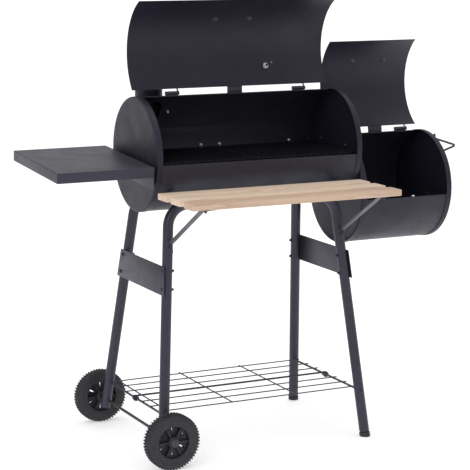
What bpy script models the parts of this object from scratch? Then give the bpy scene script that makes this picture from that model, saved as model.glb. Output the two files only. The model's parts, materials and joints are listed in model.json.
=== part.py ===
"""Offset smoker: barrel, firebox, chimney, table, slatted shelf and wheeled stand.

Metres. +X runs along the barrel towards the firebox, -Y is the front where the
lids open, +Z is up and the ground is z = 0. Both lids stand open on their stops.
"""
import math

import bmesh
import bpy
from mathutils import Matrix, Vector

GAP = 0.0003                 # air left between pieces that touch

# barrel and firebox drums
CAP_R = 0.150                # outside radius of the pressed end caps
CAP_T = 0.0012
CAP_RIM = 0.0166             # depth of the rim folded over the shell
CAP_BEND = 0.004
SHELL_R = CAP_R - CAP_T - GAP
SHELL_T = 0.0015
MAIN_Z = 0.775
MAIN_X0 = -0.298             # outer face of the left cap
MAIN_X1 = 0.298
FIRE_Z = 0.6485
FIRE_X0 = MAIN_X1 + GAP
FIRE_X1 = 0.583
MOUTH_REAR = 84.4            # degrees from +Y, the opening of both drums
MOUTH_FRONT = 185.4

# lids
LID_IN_R = 0.1508
LID_T = 0.0012
LID_REAR = 82.6
LID_FRONT = 186.0
MAIN_LID_X = (-0.2878, 0.2878)
FIRE_LID_X = (0.3035, 0.5775)
MAIN_LID_OPEN = 121.1        # degrees from shut to resting on the stop
FIRE_LID_OPEN = 136.0

# hinges, measured from the drum's axis
PIN_Y = 0.0314
PIN_DZ = 0.1519
PIN_R = 0.0026
KNUCKLE_R = 0.0052
HINGE_W = 0.038
BASE_TH = (65.5, 75.0)
TONGUE_TH = (74.0, 79.5)
LEAF_TH = (79.5, 96.0)
LEAF_SLOT_TH = (76.0, 84.0)
HINGE_EAR_W = 0.004          # the one ear the lid's leaf has, at its right end
SIDE_GAP = 0.0005
PIN_END = 0.0015
LEAF_T = 0.0015
MAIN_HINGES = (("left", -0.176), ("right", 0.199))
FIRE_HINGES = (("left", 0.366), ("right", 0.524))
MAIN_STOP_X = 0.0105
FIRE_STOP_X = 0.447
STOP_T = 0.002
STOP_HALF_W = 0.022
STOP_FOOT_TH = (74.5, 62.0)
STOP_TOUCH_TH = (95.0, 92.0, 89.0, 86.0, 84.0)

# lid handles
HANDLE_ROD_R = 0.0035
HANDLE_HALF = 0.050
HANDLE_OUT = 0.040
GRIP_R = 0.0120
GRIP_LEN = 0.084
MAIN_HANDLE_X = 0.004
MAIN_HANDLE_TH = 154.0
FIRE_HANDLE_X = 0.447
FIRE_HANDLE_TH = 158.0

# thermometer in the main lid
THERMO_X = 0.112
THERMO_TH = 103.7
THERMO_HOLE_R = 0.0055

# chimney
CHIM_X = -0.2095
CHIM_Y = 0.1095
CHIM_R = 0.0365
CHIM_T = 0.0012
CHIM_TOP = 1.100
CHIM_HOLE_R = 0.0335
CHIM_PLATE_HALF = 0.064
CHIM_PLATE_TH = (3.0, 64.0)
RAIN_CAP_T = 0.0015
POST_OUT = 0.010             # swivel post from the pipe's wall
POST_R = 0.003
EAR_HALF = 0.007
EAR_DOWN = (0.024, 0.002)    # below the pipe's top

# smoke passage through the two caps that stand back to back
PASS_HALF_Y = 0.058
PASS_Z = (0.672, 0.752)
PASS_CORNER = 0.020

# air damper on the firebox end
DAMPER_Y = -0.050
DAMPER_Z = 0.595
DAMPER_R = 0.054
DAMPER_T = 0.0015
PIVOT_BORE_R = 0.0033        # holes for the damper rivet and the rain cap's post
VENT_R = 0.011
VENT_RING = 0.032
VENTS = 4
KNOB_AT = 214.0
KNOB_IN = 0.007              # knob centre from the plate's edge
DAMPER_SHUT = 45.0           # degrees the plate is turned from fully open

# bent wire loop on the firebox end
LOOP_Y = -0.050
LOOP_Z = 0.7545
LOOP_OUT = 0.069
LOOP_HALF = 0.023
LOOP_FOOT = 0.013
LOOP_WIRE_R = 0.0029

# side table
TABLE_X = (-0.570, -0.311)
TABLE_HALF_Y = 0.166
TABLE_Z = 0.772
TABLE_SKIRT = 0.026
TABLE_BACK_SKIRT = 0.059
TABLE_T = 0.0012
TABLE_TURN = 3.5             # degrees the table sits turned towards the front
MOUNT_HALF = 0.118
MOUNT_WEB = 0.0015
MOUNT_Z = (0.716, 0.762)

# front shelf
SLAT_X = (-0.306, 0.278)
SLAT_TOP = 0.697
SLAT_T = 0.016
SLAT_W = 0.056
SLAT_FRONT = -0.3835
SLAT_REAR = -0.1695
SLAT_BEVEL = 0.0022
BRACKET_W = 0.020
BRACKET_T = 0.002
BRACKET_XS = (("left", -0.252), ("right", 0.232))
BRACKET_TOP_TH = 212.5       # where the bracket starts on the drum

# stand
TUBE_R = 0.0135
TUBE_T = 0.0013
LEG_TOP_Z = 0.653
LEG_Y0 = 0.207               # leg centre from the middle at the ground
LEG_LEAN = 0.1531            # inward lean per metre of height
LEFT_X0 = -0.3134
LEFT_LEAN = 0.0982
RIGHT_X0 = 0.2825
RIGHT_LEAN = -0.0740
LEG_BEND = 0.060
WHEEL_R = 0.073
LEFT_END_Z = 0.052
FOOT_H = 0.014

# wheels
AXLE_R = 0.004
WHEEL_W = 0.034
WHEEL_WEB = 0.0040           # half thickness of the slotted disc inside
SLOT_AT = 30.0
SLOT_HALF = (9.0, 7.0)       # degrees, at the outer and the inner end
WHEEL_Y = 0.247
AXLE_HALF = 0.272

# braces and struts
BRACE_Z = (0.428, 0.502)
BRACE_T = 0.0015
STRUT_W = 0.016
STRUT_T = 0.002
STRUT_Z = 0.547
STRUT_TOP_Y = (-0.342, -0.367)

# low wire shelf
ROD_R = 0.003
ROD_Z = 0.125
ROD_HALF = 0.209
WIRE_R = 0.0015
CROSS_R = 0.0018
MID_WIRE_R = 0.0026
WIRE_YS = (-0.165, -0.110, -0.055, 0.055, 0.110, 0.165)
CROSS_XS = (-0.284, -0.098, 0.088, 0.262)

# grates
GRATE_Z = 0.7605
GRATE_BAR_R = 0.0019
GRATE_ROD_R = 0.0024
GRATE_PITCH = 0.0125
GRATE_HALF_Y = 0.139
FIRE_GRATE_Z = FIRE_Z - 0.070
FIRE_GRATE_HALF_Y = 0.1303
FIRE_GRATE_PITCH = 0.0170
FIRE_GRATE_INSET = 0.012
GRATE_END_X = 0.284
GRATE_SPLIT = -0.012
GRATE_APART = 0.0015
RAIL_T = 0.0012
RAIL_DROP = 7.5              # degrees of the barrel's wall a rail lies on
RAIL_LEDGE = 0.016
RAIL_INSET = 0.02

# middle of the object's footprint in the coordinates above
CENTRE_X = 0.04244
CENTRE_Y = -0.05575

MATERIALS = {
    "black_paint": ((0.030, 0.030, 0.034), 0.0, 0.50),
    "wood": ((0.78, 0.60, 0.44), 0.0, 0.55),
    "zinc": ((0.62, 0.63, 0.64), 1.0, 0.30),
    "grate_steel": ((0.030, 0.030, 0.032), 0.4, 0.55),
    "wheel_plastic": ((0.020, 0.020, 0.021), 0.0, 0.60),
}


def clear_scene():
    for obj in list(bpy.data.objects):
        bpy.data.objects.remove(obj, do_unlink=True)


def make_collections():
    parts = bpy.data.collections.new("offset_smoker")
    cutters = bpy.data.collections.new("cutters")
    bpy.context.scene.collection.children.link(parts)
    bpy.context.scene.collection.children.link(cutters)
    return parts, cutters


def make_materials():
    made = {}
    for name, (colour, metallic, roughness) in MATERIALS.items():
        mat = bpy.data.materials.new(name)
        mat.use_nodes = True
        shader = mat.node_tree.nodes["Principled BSDF"]
        shader.inputs["Base Color"].default_value = (*colour, 1.0)
        shader.inputs["Metallic"].default_value = metallic
        shader.inputs["Roughness"].default_value = roughness
        made[name] = mat
    return made


clear_scene()
PARTS, CUTTERS = make_collections()
MATS = make_materials()


def add_object(name, mesh, material):
    obj = bpy.data.objects.new(name, mesh)
    PARTS.objects.link(obj)
    mesh.materials.clear()
    mesh.materials.append(MATS[material])
    return obj


def smooth(obj, angle=35.0):
    obj.data.shade_smooth()
    obj.data.set_sharp_from_angle(angle=math.radians(angle))
    return obj


def polar(radius, degrees):
    a = math.radians(degrees)
    return radius * math.cos(a), radius * math.sin(a)


def arc(radius, start, stop, step=3.5, centre=(0.0, 0.0)):
    """Points on an arc, in degrees, both ends included."""
    n = max(1, math.ceil(abs(stop - start) / step))
    pts = []
    for i in range(n + 1):
        a, b = polar(radius, start + (stop - start) * i / n)
        pts.append((centre[0] + a, centre[1] + b))
    return pts


def prism_mesh(outline, axis, lo, hi):
    """Solid of a flat outline pushed along one axis from lo to hi."""
    order = {"X": (2, 0, 1), "Y": (0, 2, 1), "Z": (0, 1, 2)}[axis]

    def place(a, b, h):
        raw = (a, b, h)
        return Vector(raw[i] for i in order)

    bm = bmesh.new()
    verts = [bm.verts.new(place(a, b, lo)) for a, b in outline]
    face = bm.faces.new(verts)
    top = bmesh.ops.extrude_face_region(bm, geom=[face])
    moved = [g for g in top["geom"] if isinstance(g, bmesh.types.BMVert)]
    bmesh.ops.translate(bm, verts=moved, vec=place(0.0, 0.0, hi - lo))
    bmesh.ops.recalc_face_normals(bm, faces=bm.faces)
    mesh = bpy.data.meshes.new("prism")
    bm.to_mesh(mesh)
    bm.free()
    return mesh


def prism(name, outline, axis, lo, hi, material):
    return add_object(name, prism_mesh(outline, axis, lo, hi), material)


def box_outline(a0, a1, b0, b1):
    return [(a0, b0), (a1, b0), (a1, b1), (a0, b1)]


def strip_outline(path, thickness):
    """Outline of a constant thickness strip that follows a path."""
    left, right = [], []
    pts = [Vector(p) for p in path]
    for i, p in enumerate(pts):
        before = (p - pts[i - 1]).normalized() if i else None
        after = (pts[i + 1] - p).normalized() if i < len(pts) - 1 else None
        before = before or after
        after = after or before
        along = (before + after).normalized()
        side = Vector((-along.y, along.x))
        reach = thickness / 2 / max(0.3, side.dot(Vector((-after.y, after.x))))
        left.append(tuple(p + side * reach))
        right.append(tuple(p - side * reach))
    return left + right[::-1]


def sheet_outline(r0, r1, start, stop, axis_z, step=3.5):
    centre = (0.0, axis_z)
    outer = arc(r1, start, stop, step, centre)
    inner = arc(r0, start, stop, step, centre)
    return outer + inner[::-1]


def turned(name, profile, material, steps=48):
    """Turned solid about local Z from (radius, height) points, top to bottom."""
    mesh = bpy.data.meshes.new(name)
    mesh.from_pydata([(r, 0.0, h) for r, h in profile],
                     [(i, i + 1) for i in range(len(profile) - 1)], [])
    obj = add_object(name, mesh, material)
    screw = obj.modifiers.new("turn", "SCREW")
    screw.axis = "Z"
    screw.steps = steps
    screw.render_steps = steps
    screw.use_merge_vertices = True
    screw.merge_threshold = 0.00005
    return obj


def turned_ring(name, profile, material, steps=48):
    """Turned ring: a closed (radius, height) profile that stays off the axis."""
    return turned(name, profile + [profile[0]], material, steps)


def apply_modifiers(obj):
    """Apply the modifiers so that later cuts work on plain geometry."""
    graph = bpy.context.evaluated_depsgraph_get()
    graph.update()
    mesh = bpy.data.meshes.new_from_object(obj.evaluated_get(graph))
    obj.modifiers.clear()
    obj.data = mesh
    bm = bmesh.new()
    bm.from_mesh(mesh)
    bmesh.ops.remove_doubles(bm, verts=bm.verts, dist=0.00002)
    bmesh.ops.recalc_face_normals(bm, faces=bm.faces)
    bm.to_mesh(mesh)
    bm.free()


def tube_mesh(points, radius, sides=3, caps=True):
    """Round bar along a path; sides is the curve's bevel resolution."""
    curve = bpy.data.curves.new("bar", "CURVE")
    curve.dimensions = "3D"
    curve.twist_mode = "MINIMUM"
    curve.bevel_depth = radius
    curve.bevel_resolution = sides
    curve.use_fill_caps = caps
    spline = curve.splines.new("POLY")
    spline.points.add(len(points) - 1)
    for slot, p in zip(spline.points, points):
        slot.co = (*p, 1.0)
    holder = bpy.data.objects.new("bar", curve)
    bpy.context.scene.collection.objects.link(holder)
    graph = bpy.context.evaluated_depsgraph_get()
    graph.update()
    mesh = bpy.data.meshes.new_from_object(holder.evaluated_get(graph))
    bpy.data.objects.remove(holder, do_unlink=True)
    bm = bmesh.new()
    bm.from_mesh(mesh)
    bmesh.ops.remove_doubles(bm, verts=bm.verts, dist=0.00002)
    if caps:
        bmesh.ops.recalc_face_normals(bm, faces=bm.faces)
    bm.to_mesh(mesh)
    bm.free()
    return mesh


def bar(name, points, radius, material, sides=3):
    return smooth(add_object(name, tube_mesh(points, radius, sides), material))


def joined_mesh(meshes):
    bm = bmesh.new()
    for mesh in meshes:
        bm.from_mesh(mesh)
    out = bpy.data.meshes.new("joined")
    bm.to_mesh(out)
    bm.free()
    return out


def cylinder_mesh(start, end, radius, segments=24):
    """Closed round bar between two points."""
    a, b = Vector(start), Vector(end)
    bm = bmesh.new()
    bmesh.ops.create_cone(bm, cap_ends=True, segments=segments, radius1=radius,
                          radius2=radius, depth=(b - a).length)
    turn = (b - a).to_track_quat("Z", "Y").to_matrix().to_4x4()
    bmesh.ops.transform(bm, matrix=Matrix.Translation((a + b) / 2) @ turn, verts=bm.verts)
    mesh = bpy.data.meshes.new("cylinder")
    bm.to_mesh(mesh)
    bm.free()
    return mesh


def boolean(obj, mesh, operation):
    tool = bpy.data.objects.new(obj.name + "_tool", mesh)
    CUTTERS.objects.link(tool)
    tool.hide_render = True
    tool.display_type = "WIRE"
    mod = obj.modifiers.new(operation.lower(), "BOOLEAN")
    mod.operation = operation
    mod.solver = "EXACT"
    mod.object = tool


def cut(obj, mesh):
    boolean(obj, mesh, "DIFFERENCE")


def fuse(obj, mesh):
    boolean(obj, mesh, "UNION")


def move_mesh(obj, matrix):
    """Move an object's modelled shape and everything that cuts or joins it."""
    obj.data.transform(matrix)
    for mod in obj.modifiers:
        if mod.type == "BOOLEAN":
            mod.object.data.transform(matrix)


def set_origin(obj, point):
    """Put the object's origin on its joint axis without moving its shape."""
    point = Vector(point)
    obj.data.transform(Matrix.Translation(-point))
    obj.location = point


def turn_about_x(degrees, y, z):
    pivot = Vector((0.0, y, z))
    turn = Matrix.Rotation(math.radians(degrees), 4, "X")
    return Matrix.Translation(pivot) @ turn @ Matrix.Translation(-pivot)


def fillet(points, radius, steps=7):
    """Round the inner corners of a path."""
    pts = [Vector(p) for p in points]
    out = [pts[0]]
    for i in range(1, len(pts) - 1):
        a = (pts[i - 1] - pts[i]).normalized()
        b = (pts[i + 1] - pts[i]).normalized()
        half = a.angle(b) / 2
        back = radius / math.tan(half)
        start = pts[i] + a * back
        centre = pts[i] + (a + b).normalized() * (radius / math.sin(half))
        first = start - centre
        last = pts[i] + b * back - centre
        sweep = first.angle(last)
        axis = first.cross(last).normalized()
        for k in range(steps + 1):
            out.append(centre + Matrix.Rotation(sweep * k / steps, 3, axis) @ first)
    out.append(pts[-1])
    return out


def leg_x(side, z):
    if side == "left":
        return LEFT_X0 + LEFT_LEAN * z
    return RIGHT_X0 + RIGHT_LEAN * z


def leg_y(z):
    return LEG_Y0 - LEG_LEAN * z


# ---------------------------------------------------------------- drums

def drum_shell(name, x0, x1, axis_z):
    outline = sheet_outline(SHELL_R - SHELL_T, SHELL_R, MOUTH_FRONT - 360.0,
                            MOUTH_REAR, axis_z)
    return smooth(prism(name, outline, "X", x0, x1, "black_paint"))


def drum_cap(name, outer_x, inward, axis_z):
    """Pressed end cap; inward is +1 when its rim points to +X."""
    bend = arc(CAP_BEND, 90.0, 0.0, 30.0, (CAP_R - CAP_BEND, -CAP_BEND))
    inner = arc(CAP_BEND - CAP_T, 0.0, 90.0, 45.0, (CAP_R - CAP_BEND, -CAP_BEND))
    profile = [(0.0, 0.0)] + bend + [(CAP_R, -CAP_RIM), (CAP_R - CAP_T, -CAP_RIM)]
    profile += inner + [(0.0, -CAP_T)]
    cap = turned(name, profile, "black_paint", 54)
    apply_modifiers(cap)
    turn = Matrix.Rotation(math.radians(-90.0 * inward), 4, "Y")
    cap.data.transform(Matrix.Translation((outer_x, 0.0, axis_z)) @ turn)
    return smooth(cap)


def smoke_passage(lo, hi):
    r = PASS_CORNER
    y, z0, z1 = PASS_HALF_Y, PASS_Z[0], PASS_Z[1]
    outline = arc(r, 0, 90, 30, (y - r, z1 - r)) + arc(r, 90, 180, 30, (r - y, z1 - r))
    outline += arc(r, 180, 270, 30, (r - y, z0 + r)) + arc(r, 270, 360, 30, (y - r, z0 + r))
    return prism_mesh(outline, "X", lo, hi)


def build_drums():
    inset = CAP_BEND + GAP
    shell = drum_shell("main_shell", MAIN_X0 + inset, MAIN_X1 - inset, MAIN_Z)
    cut(shell, cylinder_mesh((CHIM_X, CHIM_Y, MAIN_Z), (CHIM_X, CHIM_Y, MAIN_Z + 0.2),
                             CHIM_HOLE_R, 32))
    drum_shell("firebox_shell", FIRE_X0 + inset, FIRE_X1 - inset, FIRE_Z)
    drum_cap("main_left_cap", MAIN_X0, 1, MAIN_Z)
    cut(drum_cap("main_right_cap", MAIN_X1, -1, MAIN_Z),
        smoke_passage(MAIN_X1 - 0.01, MAIN_X1 + 0.01))
    cut(drum_cap("firebox_left_cap", FIRE_X0, 1, FIRE_Z),
        smoke_passage(FIRE_X0 - 0.01, FIRE_X0 + 0.01))
    end = drum_cap("firebox_right_cap", FIRE_X1, -1, FIRE_Z)
    cut(end, vent_holes(FIRE_X1 - 0.01, FIRE_X1 + 0.01, 0.0))
    cut(end, cylinder_mesh((FIRE_X1 - 0.01, DAMPER_Y, DAMPER_Z),
                           (FIRE_X1 + 0.01, DAMPER_Y, DAMPER_Z), PIVOT_BORE_R, 16))


def vent_holes(lo, hi, turned_by):
    holes = []
    for i in range(VENTS):
        y, z = polar(VENT_RING, 45.0 + turned_by + 360.0 * i / VENTS)
        holes.append(cylinder_mesh((lo, DAMPER_Y + y, DAMPER_Z + z),
                                   (hi, DAMPER_Y + y, DAMPER_Z + z), VENT_R, 20))
    return joined_mesh(holes)


# ---------------------------------------------------------------- lids

def pivot_of(axis_z):
    return PIN_Y, axis_z + PIN_DZ


def lid_sheet(name, x_range, axis_z):
    outline = sheet_outline(LID_IN_R, LID_IN_R + LID_T, LID_REAR, LID_FRONT, axis_z)
    return smooth(prism(name, outline, "X", x_range[0], x_range[1], "black_paint"))


def lid_point(radius, degrees, axis_z):
    y, z = polar(radius, degrees)
    return y, axis_z + z


def lid_handle(prefix, x, theta, axis_z):
    """U of round rod standing on the lid with a turned wooden grip on it."""
    root = LID_IN_R + LID_T + GAP
    y0, z0 = lid_point(root, theta, axis_z)
    y1, z1 = lid_point(root + HANDLE_OUT, theta, axis_z)
    path = fillet([(x - HANDLE_HALF, y0, z0), (x - HANDLE_HALF, y1, z1),
                   (x + HANDLE_HALF, y1, z1), (x + HANDLE_HALF, y0, z0)], 0.0065, 5)
    rod = bar(prefix + "_handle_rod", path, HANDLE_ROD_R, "zinc")
    bore = HANDLE_ROD_R + GAP
    half = GRIP_LEN / 2
    profile = [(bore, half), (GRIP_R * 0.74, half), (GRIP_R * 0.82, half - 0.003)]
    for i in range(7):
        h = half - 0.006 - (GRIP_LEN - 0.012) * i / 6
        profile.append((GRIP_R * (0.86 + 0.14 * math.cos(h / half * 1.4)), h))
    profile += [(GRIP_R * 0.82, 0.003 - half), (GRIP_R * 0.74, -half), (bore, -half)]
    grip = turned_ring(prefix + "_handle_grip", profile, "wood", 20)
    apply_modifiers(grip)
    turn = Matrix.Rotation(math.radians(90.0), 4, "Y")
    grip.data.transform(Matrix.Translation((x, y1, z1)) @ turn)
    smooth(grip)
    return [rod, grip]


def hinge(prefix, x, axis_z):
    """Base leaf with its pin, fixed to the drum, and the leaf the lid carries."""
    half = HINGE_W / 2
    ear = x + half - HINGE_EAR_W
    end = ear - SIDE_GAP
    pin = pivot_of(axis_z)
    r0 = SHELL_R + GAP
    leaf = sheet_outline(r0, r0 + LEAF_T, *BASE_TH, axis_z, 2.0)
    base = prism(prefix + "_base", leaf, "X", x - half, x + half, "black_paint")
    tongue = sheet_outline(r0, r0 + LEAF_T, *TONGUE_TH, axis_z, 2.0)
    fuse(base, prism_mesh(tongue, "X", x - half, end))
    fuse(base, cylinder_mesh((x - half, *pin), (end, *pin), KNUCKLE_R, 20))
    fuse(base, cylinder_mesh((end - 0.002, *pin), (x + half + PIN_END, *pin), PIN_R, 16))

    r1 = LID_IN_R + LID_T + GAP
    outline = sheet_outline(r1, r1 + LEAF_T, *LEAF_TH, axis_z, 2.0)
    leaf_obj = prism(prefix + "_leaf", outline, "X", x - half, x + half, "black_paint")
    slot = sheet_outline(r1 - 0.004, r1 + LEAF_T + 0.004, *LEAF_SLOT_TH, axis_z, 2.0)
    cut(leaf_obj, prism_mesh(slot, "X", x - half - 0.01, ear))
    fuse(leaf_obj, cylinder_mesh((ear, *pin), (x + half, *pin), KNUCKLE_R, 20))
    bore_ends = ((ear - 0.01, *pin), (x + half + 0.01, *pin))
    cut(leaf_obj, cylinder_mesh(*bore_ends, PIN_R + GAP, 16))
    return leaf_obj


def lid_stop(name, x, axis_z, open_angle):
    """Bent plate on the drum that the open lid's back leans on."""
    pin = pivot_of(axis_z)
    opened = turn_about_x(-open_angle, *pin)
    rest_r = LID_IN_R + LID_T + GAP + STOP_T / 2
    path = []
    for theta in STOP_TOUCH_TH:
        y, z = lid_point(rest_r, theta, axis_z)
        spot = opened @ Vector((0.0, y, z))
        path.append((spot.y, spot.z))
    foot_r = SHELL_R + GAP + STOP_T / 2
    path += arc(foot_r, STOP_FOOT_TH[0], STOP_FOOT_TH[1], 3.0, (0.0, axis_z))
    prism(name, strip_outline(path, STOP_T), "X", x - STOP_HALF_W, x + STOP_HALF_W,
          "black_paint")


def build_thermometer():
    root = LID_IN_R + LID_T
    profile = [(0.0, 0.0185), (0.0235, 0.0185), (0.0245, 0.0175), (0.0265, 0.0185),
               (0.0275, 0.0170), (0.0275, 0.0090), (0.0255, 0.0070), (0.0110, 0.0050),
               (0.0110, GAP), (0.0050, GAP), (0.0050, -0.0085), (0.0022, -0.0105),
               (0.0022, -0.0420), (0.0, -0.0430)]
    body = turned("thermometer", profile, "zinc", 28)
    apply_modifiers(body)
    nut_top = -LID_T - GAP - 0.0006
    nut_profile = [(0.0062, nut_top), (0.0100, nut_top),
                   (0.0100, nut_top - 0.0034), (0.0062, nut_top - 0.0034)]
    nut = turned_ring("thermometer_nut", nut_profile, "zinc", 6)
    apply_modifiers(nut)
    y, z = lid_point(root, THERMO_TH, MAIN_Z)
    face_out = Matrix.Rotation(math.radians(THERMO_TH - 90.0), 4, "X")
    place = Matrix.Translation((THERMO_X, y, z)) @ face_out
    for obj in (body, nut):
        obj.data.transform(place)
        smooth(obj)
    inner = lid_point(root - 0.03, THERMO_TH, MAIN_Z)
    outer = lid_point(root + 0.03, THERMO_TH, MAIN_Z)
    drill = cylinder_mesh((THERMO_X, *inner), (THERMO_X, *outer), THERMO_HOLE_R, 20)
    return [body, nut], drill


def build_lids():
    main = lid_sheet("main_lid", MAIN_LID_X, MAIN_Z)
    gauge, drill = build_thermometer()
    cut(main, drill)
    moving = [main] + gauge
    moving += lid_handle("main_lid", MAIN_HANDLE_X, MAIN_HANDLE_TH, MAIN_Z)
    for side, x in MAIN_HINGES:
        moving.append(hinge("main_hinge_" + side, x, MAIN_Z))
    open_up(moving, MAIN_Z, MAIN_LID_OPEN)
    lid_stop("main_lid_stop", MAIN_STOP_X, MAIN_Z, MAIN_LID_OPEN)

    moving = [lid_sheet("firebox_lid", FIRE_LID_X, FIRE_Z)]
    moving += lid_handle("firebox_lid", FIRE_HANDLE_X, FIRE_HANDLE_TH, FIRE_Z)
    for side, x in FIRE_HINGES:
        moving.append(hinge("firebox_hinge_" + side, x, FIRE_Z))
    open_up(moving, FIRE_Z, FIRE_LID_OPEN)
    lid_stop("firebox_lid_stop", FIRE_STOP_X, FIRE_Z, FIRE_LID_OPEN)


def open_up(pieces, axis_z, angle):
    pin = pivot_of(axis_z)
    for obj in pieces:
        move_mesh(obj, turn_about_x(-angle, *pin))
        set_origin(obj, (0.0, *pin))


# ---------------------------------------------------------------- chimney

def build_chimney():
    pipe_profile = [(CHIM_R, CHIM_TOP), (CHIM_R, MAIN_Z), (CHIM_R - CHIM_T, MAIN_Z),
                    (CHIM_R - CHIM_T, CHIM_TOP)]
    pipe = turned_ring("chimney_pipe", pipe_profile, "black_paint", 32)
    apply_modifiers(pipe)
    pipe.data.transform(Matrix.Translation((CHIM_X, CHIM_Y, 0.0)))
    smooth(pipe)
    cut(pipe, cylinder_mesh((-0.4, 0.0, MAIN_Z), (0.0, 0.0, MAIN_Z), SHELL_R + GAP, 96))

    r0 = SHELL_R + GAP
    outline = sheet_outline(r0, r0 + LEAF_T, CHIM_PLATE_TH[0], CHIM_PLATE_TH[1], MAIN_Z)
    plate = prism("chimney_flange", outline, "X", CHIM_X - CHIM_PLATE_HALF,
                  CHIM_X + CHIM_PLATE_HALF, "black_paint")
    cut(plate, cylinder_mesh((CHIM_X, CHIM_Y, MAIN_Z), (CHIM_X, CHIM_Y, MAIN_Z + 0.2),
                             CHIM_R + GAP, 32))
    smooth(plate)

    # swivelling rain cap on a post that a small ear holds to the pipe
    post_x = CHIM_X - CHIM_R - POST_OUT
    ear = prism("chimney_cap_ear", box_outline(post_x - 0.006, CHIM_X - CHIM_R - GAP,
                                               CHIM_Y - EAR_HALF, CHIM_Y + EAR_HALF),
                "Z", CHIM_TOP - EAR_DOWN[0], CHIM_TOP - EAR_DOWN[1], "black_paint")
    drill = cylinder_mesh((CHIM_X, CHIM_Y, CHIM_TOP - 0.05), (CHIM_X, CHIM_Y, CHIM_TOP + 0.05),
                          CHIM_R + GAP, 32)
    cut(ear, drill)
    cut(ear, cylinder_mesh((post_x, CHIM_Y, CHIM_TOP - 0.05),
                           (post_x, CHIM_Y, CHIM_TOP + 0.05), PIVOT_BORE_R, 16))
    lift = CHIM_TOP + GAP
    disc = turned("chimney_cap", [(0.0, lift + RAIN_CAP_T), (CHIM_R + 0.0025, lift + RAIN_CAP_T),
                                  (CHIM_R + 0.0035, lift), (0.0, lift)],
                  "black_paint", 40)
    apply_modifiers(disc)
    disc.data.transform(Matrix.Translation((CHIM_X, CHIM_Y, 0.0)))
    tab = box_outline(post_x - 0.006, CHIM_X - 0.02, CHIM_Y - EAR_HALF, CHIM_Y + EAR_HALF)
    fuse(disc, prism_mesh(tab, "Z", lift, lift + RAIN_CAP_T))
    fuse(disc, cylinder_mesh((post_x, CHIM_Y, CHIM_TOP - 0.028),
                             (post_x, CHIM_Y, lift + 0.004), POST_R, 16))
    smooth(disc)
    set_origin(disc, (post_x, CHIM_Y, CHIM_TOP))


# ---------------------------------------------------------------- firebox end

def build_damper():
    x = FIRE_X1 + GAP
    plate = turned("air_damper", [(0.0, DAMPER_T), (DAMPER_R, DAMPER_T), (DAMPER_R, 0.0),
                                  (0.0, 0.0)], "black_paint", 40)
    apply_modifiers(plate)
    turn = Matrix.Rotation(math.radians(90.0), 4, "Y")
    plate.data.transform(Matrix.Translation((x, DAMPER_Y, DAMPER_Z)) @ turn)
    cut(plate, vent_holes(x - 0.01, x + 0.01, DAMPER_SHUT))
    cut(plate, cylinder_mesh((x - 0.01, DAMPER_Y, DAMPER_Z), (x + 0.01, DAMPER_Y, DAMPER_Z),
                             PIVOT_BORE_R, 16))
    ky, kz = polar(DAMPER_R - KNOB_IN, KNOB_AT)
    knob = (DAMPER_Y + ky, DAMPER_Z + kz)
    fuse(plate, cylinder_mesh((x + 0.001, *knob), (x + 0.020, *knob), 0.0045, 16))
    smooth(plate)
    set_origin(plate, (x, DAMPER_Y, DAMPER_Z))

    rivet = turned("damper_rivet", [(0.0, 0.0050), (0.0045, 0.0045), (0.0070, 0.0022),
                                    (0.0070, DAMPER_T + GAP), (0.0030, DAMPER_T + GAP),
                                    (0.0030, -0.0045), (0.0, -0.0045)], "zinc", 20)
    apply_modifiers(rivet)
    rivet.data.transform(Matrix.Translation((x, DAMPER_Y, DAMPER_Z)) @ turn)
    smooth(rivet)

    # bent wire loop on the upper part of the end face
    y, z = LOOP_Y, LOOP_Z
    base = FIRE_X1 + GAP + LOOP_WIRE_R
    tip = FIRE_X1 + LOOP_OUT
    half, foot = LOOP_HALF, LOOP_HALF + LOOP_FOOT
    loop = fillet([(base, y, z + foot), (base, y, z + half), (tip, y, z + 0.002),
                   (tip, y, z - 0.002), (base, y, z - half), (base, y, z - foot)],
                  0.0018, 3)
    bar("firebox_end_handle", loop, LOOP_WIRE_R, "black_paint", 2)


# ---------------------------------------------------------------- table

def build_table():
    x0, x1 = TABLE_X
    top, low = TABLE_Z, TABLE_Z - TABLE_SKIRT
    y = TABLE_HALF_Y
    table = prism("side_table", box_outline(x0, x1, -y, y), "Z", low, top, "black_paint")
    wall = box_outline(x1 - TABLE_T, x1, -y + 0.004, y - 0.004)
    fuse(table, prism_mesh(wall, "Z", TABLE_Z - TABLE_BACK_SKIRT, top - TABLE_T))
    t = TABLE_T
    hollow = box_outline(x0 + t, x1 - t, t - y, y - t)
    cut(table, prism_mesh(hollow, "Z", low - 0.05, top - t))
    turn = turn_about_x(TABLE_TURN, 0.0, MAIN_Z)
    move_mesh(table, turn)

    # shallow channel that spaces the table's back skirt off the barrel's cap
    cap_x = MAIN_X0 - GAP
    web, half = MOUNT_WEB, MOUNT_HALF
    skirt_x = x1 + GAP
    outline = [(cap_x, -half), (cap_x, half), (skirt_x, half), (skirt_x, half - web),
               (cap_x - web, half - web), (cap_x - web, web - half), (skirt_x, web - half),
               (skirt_x, -half)]
    mount = prism("table_mount", outline, "Z", *MOUNT_Z, "black_paint")
    move_mesh(mount, turn)


# ---------------------------------------------------------------- front shelf

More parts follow.
